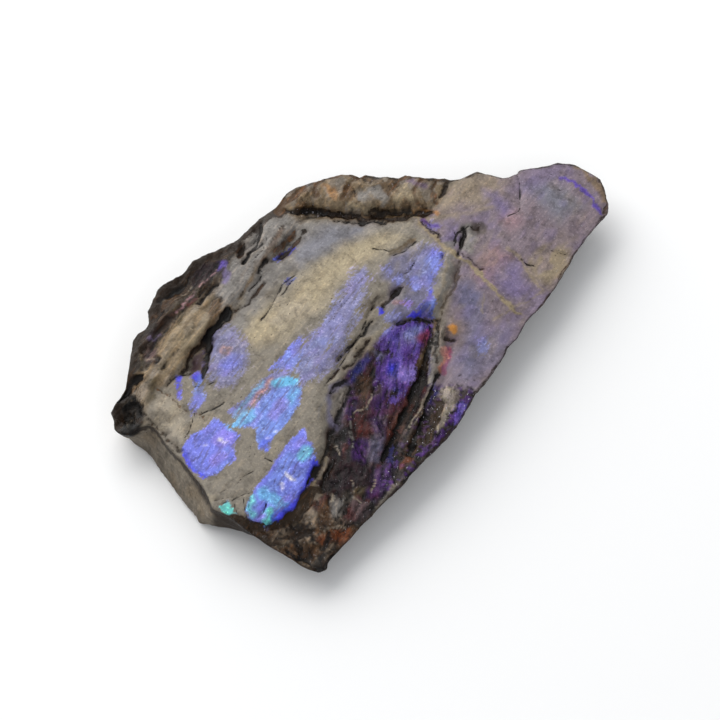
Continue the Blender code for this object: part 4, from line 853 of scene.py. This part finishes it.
# Soft tints within the patches: colour, radius, strength, places. The white ones are painted glints.
TINTS = [
    ("cyan", 0.75, 0.6, [(-16.6, -1.4), (-14.4, -1.1)]),
    ("cyan", 0.6, 0.85, [(-9.8, 0.9), (-8, 0.4)]),
    ("cyan", 0.5, 0.45, [(-8.4, -0.6), (-10, -2)]),
    ("sky", 0.45, 0.6, [(-7.4, 3.2), (-6.8, 3.8)]),
    ("teal", 0.6, 0.55, [(-12.3, -8.7), (-11.4, -8.3)]),
    ("teal", 0.35, 0.7, [(-19.3, -10.5), (-20, -11.7), (-20.3, -12.7)]),
    ("teal", 0.5, 0.95, [(-18.7, -13), (-18.7, -13.8), (-19.6, -14.1)]),
    ("cyan", 0.7, 0.6, [(-18, -10.8), (-17.3, -12.1), (-17.2, -13.3)]),
    ("sky", 0.8, 0.7, [(-13.4, -8.2), (-15.3, -9.5), (-16.8, -10.4)]),
    ("royal", 0.75, 0.85, [(-11.2, -10.4), (-12.9, -12.1), (-14.7, -13.5), (-16.5, -14), (-18.2, -14.2)]),
    ("deep", 0.45, 0.85, [(-23.2, -2), (-23.4, -4.2), (-22.8, -5.8)]),
    ("orchid", 0.9, 0.5, [(-18.8, -2.6), (-17.8, -2.2)]),
    ("deep", 0.6, 0.5, [(-15.2, -5.6), (-14.2, -5)]),
    ("orchid", 0.8, 0.5, [(-12.2, -2.6), (-10.6, -1.6)]),
    ("orchid", 0.7, 0.5, [(-20.4, -4.6), (-19.6, -4.2)]),
    ("salmon", 0.16, 0.9, [(-13.6, -0.1), (-11.8, 0.9), (-10, 1.7)]),
    ("cyan", 0.2, 0.6, [(-15.6, -0.2), (-13.4, 0.8), (-11, 1.9)]),
    ("salmon", 0.14, 0.8, [(-13, 7.8), (-12.3, 8.1), (-12.1, 7.6), (-12.7, 7.1), (-13, 7.8)]),
    ("blue", 0.6, 0.8, [(-13.4, 5.6), (-12.6, 5.8)]),
    ("deep", 0.2, 0.85, [(15.1, 7), (14, 5.9), (12.5, 4.5), (10.9, 3.1)]),
    ("glint_white", 0.12, 0.8, [(-18.7, -2.5), (-18.5, -2.5)]),
    ("glint_white", 0.08, 0.7, [(-20.5, -2.3), (-20.4, -2.3)]),
    ("glint_white", 0.24, 0.85, [(-14.5, -9.8), (-14.4, -10.6)]),
    ("glint_white", 0.12, 0.75, [(-15.8, -10.7), (-15.8, -11.2)]),
    ("glint_white", 0.12, 0.75, [(-18.5, -2.4), (-18.4, -3)]),
    ("glint_white", 0.08, 0.7, [(-14.3, -4.8), (-14.1, -4.7)]),
    ("glint_white", 0.08, 0.7, [(-13.1, -4.5), (-13, -4.5)]),
]
FIRE_REACH = 1.2
FIRE_WANDER = 0.14

fire = np.tile(light_of("blue"), (len(points), 1))
fire_edge = np.full(len(points), -FIRE_REACH)
fire_strength = np.zeros(len(points))
for name, strength, crispness, outline in FIRE:
    within = crispness * inside(outline, seen + FIRE_WANDER * wander)
    fire = laid(fire, name, ramp(within, -0.5, 0.1))
    fire_strength = np.maximum(fire_strength, strength * ramp(within, -0.5, -0.1))
    fire_edge = np.maximum(fire_edge, np.clip(within, -FIRE_REACH, FIRE_REACH))
fire = layered(fire, [
    ("orchid", 0.32 * ramp(other_stain, 0.0, 0.6) * (1 - 0.8 * hollow)),
    ("sky", 0.45 * ramp(stain, 0.0, 0.6) * (1 - 0.8 * hollow)),
    ("purple", 0.40 * ramp(pool, 0.0, 0.4) * hollow),
])
for name, radius, strength, path in TINTS:
    fire = laid(fire, name, strength * ramp(radius - off_path(path, brushed), -0.30, 0.30))
fire_edge = np.where(on_top > 0.5, fire_edge, -FIRE_REACH)

# The shale under the shell: fine grey-brown mudstone in thin beds. The left end broke smooth, and the
# rest of the walls broke in ledges. What faces the table is a plane of the bedding.

SMOOTH_LEFT = -22.0
ROUGH_RIGHT = -17.0
BED_THICKNESS = 0.42
BED_LENGTH = 7.0
CRUST = 0.80
FLAT = 0.02
KNOB = [
    (-29, 2.6), (-29, 7), (-26.4, 8.6), (-24.2, 7.6), (-23.8, 5.6), (-24.6, 3.9), (-26, 2.6),
]

underside = ramp(-steady[:, 2], 0.5, 0.8)
ragged = 0.15 + 0.85 * ramp(plan[:, 0], SMOOTH_LEFT, ROUGH_RIGHT)
beds = grain(8.4, 1.0, np.column_stack([plan / BED_LENGTH, points[:, 2] / BED_THICKNESS]))
knob = part(KNOB, -0.2, 0.3) * ramp(-plan[:, 0], 22.5, 23.5) * ramp(points[:, 2], 2.2, 3.6)
crust = ramp(CRUST * (1 + 0.5 * crumb) - below_rim, -0.10, 0.10) * wall
crust = np.clip(crust + wall * (1 - underside) * part(TIP, -1.6, -0.4), 0, 1)
# Past the left corner: on the front wall the dark is painted shade, as it faces away from the light; along
# the back the slate is the shale's own, growing towards the right
past_corner_shade_and_slate = np.where(plan[:, 1] < 0, ramp(plan[:, 0], -23.6, -23.1), ramp(plan[:, 0], -28.0, -18.0))

walls = layered(np.tile(light_of("shale"), (len(points), 1)), [
    ("tan", 0.35 * ramp(grain(14.2, 2.2, points), 0.0, 0.5)),
    ("slate", 0.95 * past_corner_shade_and_slate + 0.25 * ramp(beds, -0.2, 0.5)),
    # painted shade: the front wall near the left corner darkens further to umber
    ("umber", 0.60 * past_corner_shade_and_slate * ramp(-plan[:, 0], 16, 20) * (plan[:, 1] < 0)),
    # painted shade: the walls darken towards their foot
    ("slate", 0.50 * ramp(-points[:, 2], -2.2, -0.4) * (1 - underside)),
    ("brown", 0.45 * ramp(crumb, 0.1, 0.9) * ramp(plan[:, 0], -22, -18)),
    ("umber", 0.5 * ramp(-beds, 0.1, 0.6) * ragged),
    ("umber", 0.85 * crust),
    ("bark", 0.6 * ramp(crumb, 0.0, 0.6) * (1 - underside) * ragged),
])
ground = ground + (walls - ground) * ramp(wall, 0.2, 0.8)[:, None]
ground = laid(ground, "black", 1.0 * knob)

# The relief: the film lies nearly smooth, the breaks stand in sheets and chips, the tip and the crust
# are crumbs, and the shale has its beds. Nothing goes past the slab's own box or under the table.

FIBRE_RISE = 0.016
CRUMB_RISE = 0.010
SWELL_RISE = 0.040
BAND_RISE = 0.05
BED_RISE = 0.14
UNDERSIDE_RISE = 0.08
TIP_BLUNT = 0.8
TIP_CORNER = (-17.7, -21.9)
TIP_PULL = np.array((0.40, -0.72))
TIP_REACH = 1.7
NOOK_ROUNDS = 4
CREST_ROUNDS = 5
FILM_GLOSS = 0.40
SHALE_GLOSS = 0.72
GLINTS = [(4.0, 20.1), (5.0, 19.5)]
GLINT_REACH = 1.1

relief = FIBRE_RISE * streak + CRUMB_RISE * crumb + SWELL_RISE * swell
relief += BAND_RISE * ramp(ground.mean(axis=1), 0.12, 0.3) * broken
bare = ramp(-ground.mean(axis=1), -0.17, -0.06)
relief += banks * ((0.05 + 0.08 * bare) * splinter + 0.03 * streak + 0.06 * bare * chunk_small)
relief += hollow * (0.03 * hollow_swell + 0.05 * hollow_streak + 0.09 * flake)
relief += lower_edge * (0.06 * hollow_streak + 0.10 * bead + 0.08 * flake)
relief += np.clip(tip + 0.8 * knob, 0, 1) * (0.11 * chunk + 0.10 * chunk_small - 0.02)
relief -= crack_depth + groove_depth * (1 - 0.6 * tip)
relief *= on_top
blunt = 1 - TIP_BLUNT * part(TIP, -2.0, -0.6)
ledges = BED_RISE * beds + 0.04 * crumb + 0.14 * chunk + 0.05 * chunk_small
relief += wall * (1 - underside) * ragged * ledges * blunt * ramp(below_rim, 0.1, 1.2)
relief += crust * 0.06 * crumb * blunt
relief += underside * UNDERSIDE_RISE * (grain(6.6, 1.6, points) + 0.5 * crumb)

flat = points[:, 2] < FLAT
lying = points[flat]
points = points + normals * relief[:, None]
points[:, 2] += terrace * (0.7 * hollow + 0.5 * lower_edge) * on_top * ramp(from_rim, 0.1, 0.6)
near_tip = ramp(TIP_REACH - off_path([TIP_CORNER, TIP_CORNER], seen), 0, TIP_REACH)
points[:, :2] += TIP_PULL * near_tip[:, None] ** 2
points[flat] = lying
points = np.clip(points, np.array(cad_low) / MM, np.array(cad_high) / MM)

normals = normals_of(points)
height = points[:, 2]
# Painted shade in the low places and nooks, darkest in the breaks, and painted highlights on the crests of
# the banks and the tip
painted_shade_low = ramp(evened(height, WIDE_ROUNDS) - height, 0.08, 0.55) * on_top
painted_shade_nook = ramp(evened(height, NOOK_ROUNDS) - height, 0.012, 0.07) * on_top
painted_highlight_crest = ramp(height - evened(height, CREST_ROUNDS), 0.02, 0.10) * on_top
ground = layered(ground, [
    ("umber", 0.70 * painted_shade_low * (0.25 + 0.75 * broken) * (1 - 0.5 * back_lip)),
    ("black", 0.80 * painted_shade_nook * (0.20 + 0.80 * broken)),
    ("beige", 0.15 * painted_highlight_crest * banks),
    ("husk", 0.35 * painted_highlight_crest * tip),
])

gloss = np.clip(FILM_GLOSS - 0.10 * broken - 0.06 * hollow, 0.2, 1)
gloss = gloss + (SHALE_GLOSS - gloss) * ramp(wall - 0.6 * crust, 0, 1)
gloss = gloss - 0.08 * np.clip(tip + knob, 0, 1)
fibrous = broken * (1 - 0.6 * banks * (1 - bare))
grit = np.clip(0.18 + 0.55 * fibrous + 0.3 * tip + 0.5 * wall * ragged, 0, 1)
chipped = np.clip(tip + knob + 0.5 * lower_edge + 0.4 * back_lip + 0.3 * hollow + crust, 0, 1)
# Painted glints: where pale specks are laid, most on the lower edge, some in the hollow, the plate, the
# back lip and the tip, and a cluster in the back crevice
glints = ramp(GLINT_REACH - off_path(GLINTS, seen), 0, 0.6)
glint_share = lower_edge + 0.25 * hollow + 0.25 * plate + 0.3 * back_lip + 0.3 * tip + glints
glint_share = np.clip(glint_share, 0, 1) * on_top

stone_mesh = bpy.data.meshes.new("rough_ammolite")
stone_mesh.from_pydata((points * MM).tolist(), [], faces.tolist())
stone_mesh.shade_smooth()

# What the material reads at each point
kept_values = {
    "ground": ground, "dark": dark, "dark_edge": dark_edge, "dark_strength": dark_strength,
    "fire": fire, "fire_edge": fire_edge, "fire_strength": fire_strength, "crack_edge": crack_edge,
    "grit": grit, "gloss": gloss, "glint_share": glint_share, "dark_grain": dark_grain, "chipped": chipped,
}
for name, values in kept_values.items():
    if values.ndim > 1:
        layer = stone_mesh.attributes.new(name, "FLOAT_COLOR", "POINT")
        layer.data.foreach_set("color", np.column_stack([values, np.ones(len(values))]).astype("f").ravel())
    else:
        layer = stone_mesh.attributes.new(name, "FLOAT", "POINT")
        layer.data.foreach_set("value", values.astype("f"))

# The finish: the colours above, broken up by the nacre's own fibres, clouds and pits, with painted
# highlights on the brighter fibres and painted glints in pale specks, a satin skin over the film, a wetter
# gloss in the breaks, and dull shale on the walls.

FIBRE_SIZE = 0.40
FINE_SIZE = 0.30
MOTTLE_SIZE = 1.3
PIT_SIZE = 0.20
PIT_FIELD = 2.6
GLINT_SIZE = 0.20
SCRATCH_SIZE = 0.10
SCRATCH_TURN = 34
LARGE_FACET = 0.9
SMALL_FACET = 0.4
CRACK_COLOUR = (0.008, 0.006, 0.005, 1)
GLINT_COLOUR = (0.62, 0.60, 0.66, 1)
BUMP_HEIGHT = 0.18

skin = bpy.data.materials.new("shell_on_shale")
skin.use_nodes = True
tree = skin.node_tree
face = tree.nodes["Principled BSDF"]


def node(kind, **settings):
    made = tree.nodes.new("ShaderNode" + kind)
    for key, value in settings.items():
        setattr(made, key, value)
    return made


def join(value, socket):
    """Sets a socket to a number or to another node's output."""
    if isinstance(value, bpy.types.NodeSocket):
        tree.links.new(value, socket)
    else:
        socket.default_value = value


def kept(name, output="Fac"):
    return node("Attribute", attribute_name=name).outputs[output]


def maths(operation, *values):
    made = node("Math", operation=operation)
    for value, socket in zip(values, made.inputs):
        join(value, socket)
    return made.outputs[0]


def plus(one, other):
    return maths("ADD", one, other)


def times(one, other):
    return maths("MULTIPLY", one, other)


def spread(value, low, high, to_low=0.0, to_high=1.0):
    """A value between low and high, spread out between two others."""
    made = node("MapRange", interpolation_type="SMOOTHSTEP")
    ends = {"Value": value, "From Min": low, "From Max": high, "To Min": to_low, "To Max": to_high}
    for key, end in ends.items():
        join(end, made.inputs[key])
    return made.outputs["Result"]


def tinted(under, over, amount, blend="MIX"):
    made = node("Mix", data_type="RGBA", blend_type=blend)
    join(amount, made.inputs[0])
    join(under, made.inputs[6])
    join(over, made.inputs[7])
    return made.outputs[2]


def shaded(under, shade, amount):
    """A colour multiplied by a shade, by that amount. A shade over 1 makes it lighter."""
    return tinted(under, (*shade, 1), amount, "MULTIPLY")


where = node("TexCoord").outputs["Object"]


def cloud(size, detail=4.0, stretch=1.0, turn=0.0, roughness=0.6):
    """Noise over the stone with clouds of that size, longer by the stretch along the turn."""
    turned = node("Mapping", vector_type="TEXTURE")
    turned.inputs["Rotation"].default_value = (0, 0, math.radians(turn))
    turned.inputs["Scale"].default_value = (size * stretch * MM, size * MM, size * MM)
    join(where, turned.inputs["Vector"])
    made = node("TexNoise")
    made.inputs["Scale"].default_value = 1.0
    made.inputs["Detail"].default_value = detail
    made.inputs["Roughness"].default_value = roughness
    join(turned.outputs[0], made.inputs["Vector"])
    return made.outputs["Fac"]


fibre_along = cloud(FIBRE_SIZE, 5, 6, GRAIN_TURN)
fibre = tinted(fibre_along, cloud(FIBRE_SIZE, 5, 5, HOLLOW_TURN), kept("dark_grain"))
mottle = cloud(MOTTLE_SIZE, 7)
fine = cloud(FINE_SIZE, 6)
edge_break = plus(maths("MULTIPLY_ADD", fibre, 1.3, -0.65), maths("MULTIPLY_ADD", fine, 1.0, -0.50))

ragged_edge = plus(kept("fire_edge"), times(edge_break, 0.9))
fire_cover = times(spread(ragged_edge, -0.18, 0.20, 0.0, 0.94), kept("fire_strength"))
fire_cover = times(fire_cover, spread(fibre, 0.34, 0.50, 0.70, 1.0))
fire_own = shaded(kept("fire", "Color"), (0.58, 0.56, 0.78), spread(fibre, 0.46, 0.34))
fire_own = shaded(fire_own, (1.5, 1.45, 1.12), spread(fine, 0.50, 0.66, 0.0, 0.9))
film_and_sheen = tinted(kept("ground", "Color"), fire_own, fire_cover)
film_and_sheen = shaded(film_and_sheen, (0.60, 0.59, 0.58), times(spread(mottle, 0.56, 0.38), 0.68))
film_and_sheen = shaded(film_and_sheen, (0.50, 0.47, 0.44), times(spread(fibre, 0.50, 0.36), kept("grit")))
film_and_sheen = shaded(film_and_sheen, (1.34, 1.32, 1.29), spread(fine, 0.51, 0.66))
film_and_sheen = shaded(film_and_sheen, (0.68, 0.66, 0.65), times(spread(fine, 0.46, 0.34), spread(mottle, 0.52, 0.40)))
# Painted highlights: the brighter fibres are lightened and warmed
gleam = times(spread(fibre, 0.52, 0.64), kept("grit"))
film_and_sheen = shaded(film_and_sheen, (2.2, 1.95, 1.7), times(gleam, 0.7))
scratches = cloud(SCRATCH_SIZE, 2, 10, SCRATCH_TURN)
scratch = times(spread(scratches, 0.32, 0.27), spread(mottle, 0.48, 0.60))
film_and_sheen = shaded(film_and_sheen, (0.30, 0.27, 0.25), times(scratch, 0.45))
pits = times(spread(cloud(PIT_SIZE, 1), 0.30, 0.25), spread(cloud(PIT_FIELD, 2), 0.44, 0.58))
film_and_sheen = shaded(film_and_sheen, (0.10, 0.08, 0.07), times(pits, 0.85))

worn = plus(kept("dark_edge"), times(edge_break, 0.55))
dark_cover = times(spread(worn, -0.10, 0.12), kept("dark_strength"))
dark_own = shaded(kept("dark", "Color"), (2.6, 2.1, 1.6), spread(fibre, 0.52, 0.70))
colour = tinted(film_and_sheen, dark_own, dark_cover)
crack_line = spread(plus(kept("crack_edge"), times(edge_break, 0.10)), -0.04, 0.05)
colour = tinted(colour, CRACK_COLOUR, times(crack_line, 0.92))
# Painted glints: pale specks laid over the colour
painted_glints = times(spread(cloud(GLINT_SIZE, 2, 1.6, HOLLOW_TURN), 0.665, 0.715), kept("glint_share"))
colour = tinted(colour, GLINT_COLOUR, times(painted_glints, 0.85))
join(colour, face.inputs["Base Color"])

dull = plus(kept("gloss"), maths("MULTIPLY_ADD", fine, 0.30, -0.15))
dull = plus(dull, maths("MULTIPLY_ADD", mottle, 0.24, -0.12))
join(dull, face.inputs["Roughness"])


def facets(size):
    """Flat broken faces of that size, each leaning its own way, as a height."""
    scaled = node("Mapping", vector_type="TEXTURE")
    scaled.inputs["Scale"].default_value = (size * MM,) * 3
    join(where, scaled.inputs["Vector"])
    cells = node("TexVoronoi")
    cells.inputs["Scale"].default_value = 1.0
    join(scaled.outputs[0], cells.inputs["Vector"])
    from_middle = node("VectorMath", operation="SUBTRACT")
    join(scaled.outputs[0], from_middle.inputs[0])
    join(cells.outputs["Position"], from_middle.inputs[1])
    lean = node("VectorMath", operation="SUBTRACT")
    join(cells.outputs["Color"], lean.inputs[0])
    lean.inputs[1].default_value = (0.5, 0.5, 0.5)
    slope = node("VectorMath", operation="DOT_PRODUCT")
    join(from_middle.outputs[0], slope.inputs[0])
    join(lean.outputs[0], slope.inputs[1])
    return slope.outputs["Value"]


rough_breaks = plus(facets(LARGE_FACET), times(facets(SMALL_FACET), 0.5))
grains = plus(fine, times(fibre, 1.3))
grains = plus(grains, times(rough_breaks, times(kept("chipped"), 2.0)))
grains = times(grains, plus(kept("grit"), 0.12))
gone = plus(times(crack_line, 0.8), times(dark_cover, 0.5))
surface = maths("SUBTRACT", maths("SUBTRACT", grains, gone), times(pits, 0.5))
bump = node("Bump")
bump.inputs["Strength"].default_value = 0.9
bump.inputs["Distance"].default_value = BUMP_HEIGHT * MM
join(surface, bump.inputs["Height"])
join(bump.outputs[0], face.inputs["Normal"])
face.inputs["Specular IOR Level"].default_value = 0.14
face.inputs["Coat Weight"].default_value = 0.05
face.inputs["Coat Roughness"].default_value = 0.18

stone_mesh.materials.append(skin)
stone = bpy.data.objects.new("stone", stone_mesh)
bpy.context.scene.collection.objects.link(stone)
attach(stone, "root")
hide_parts("ammolite")
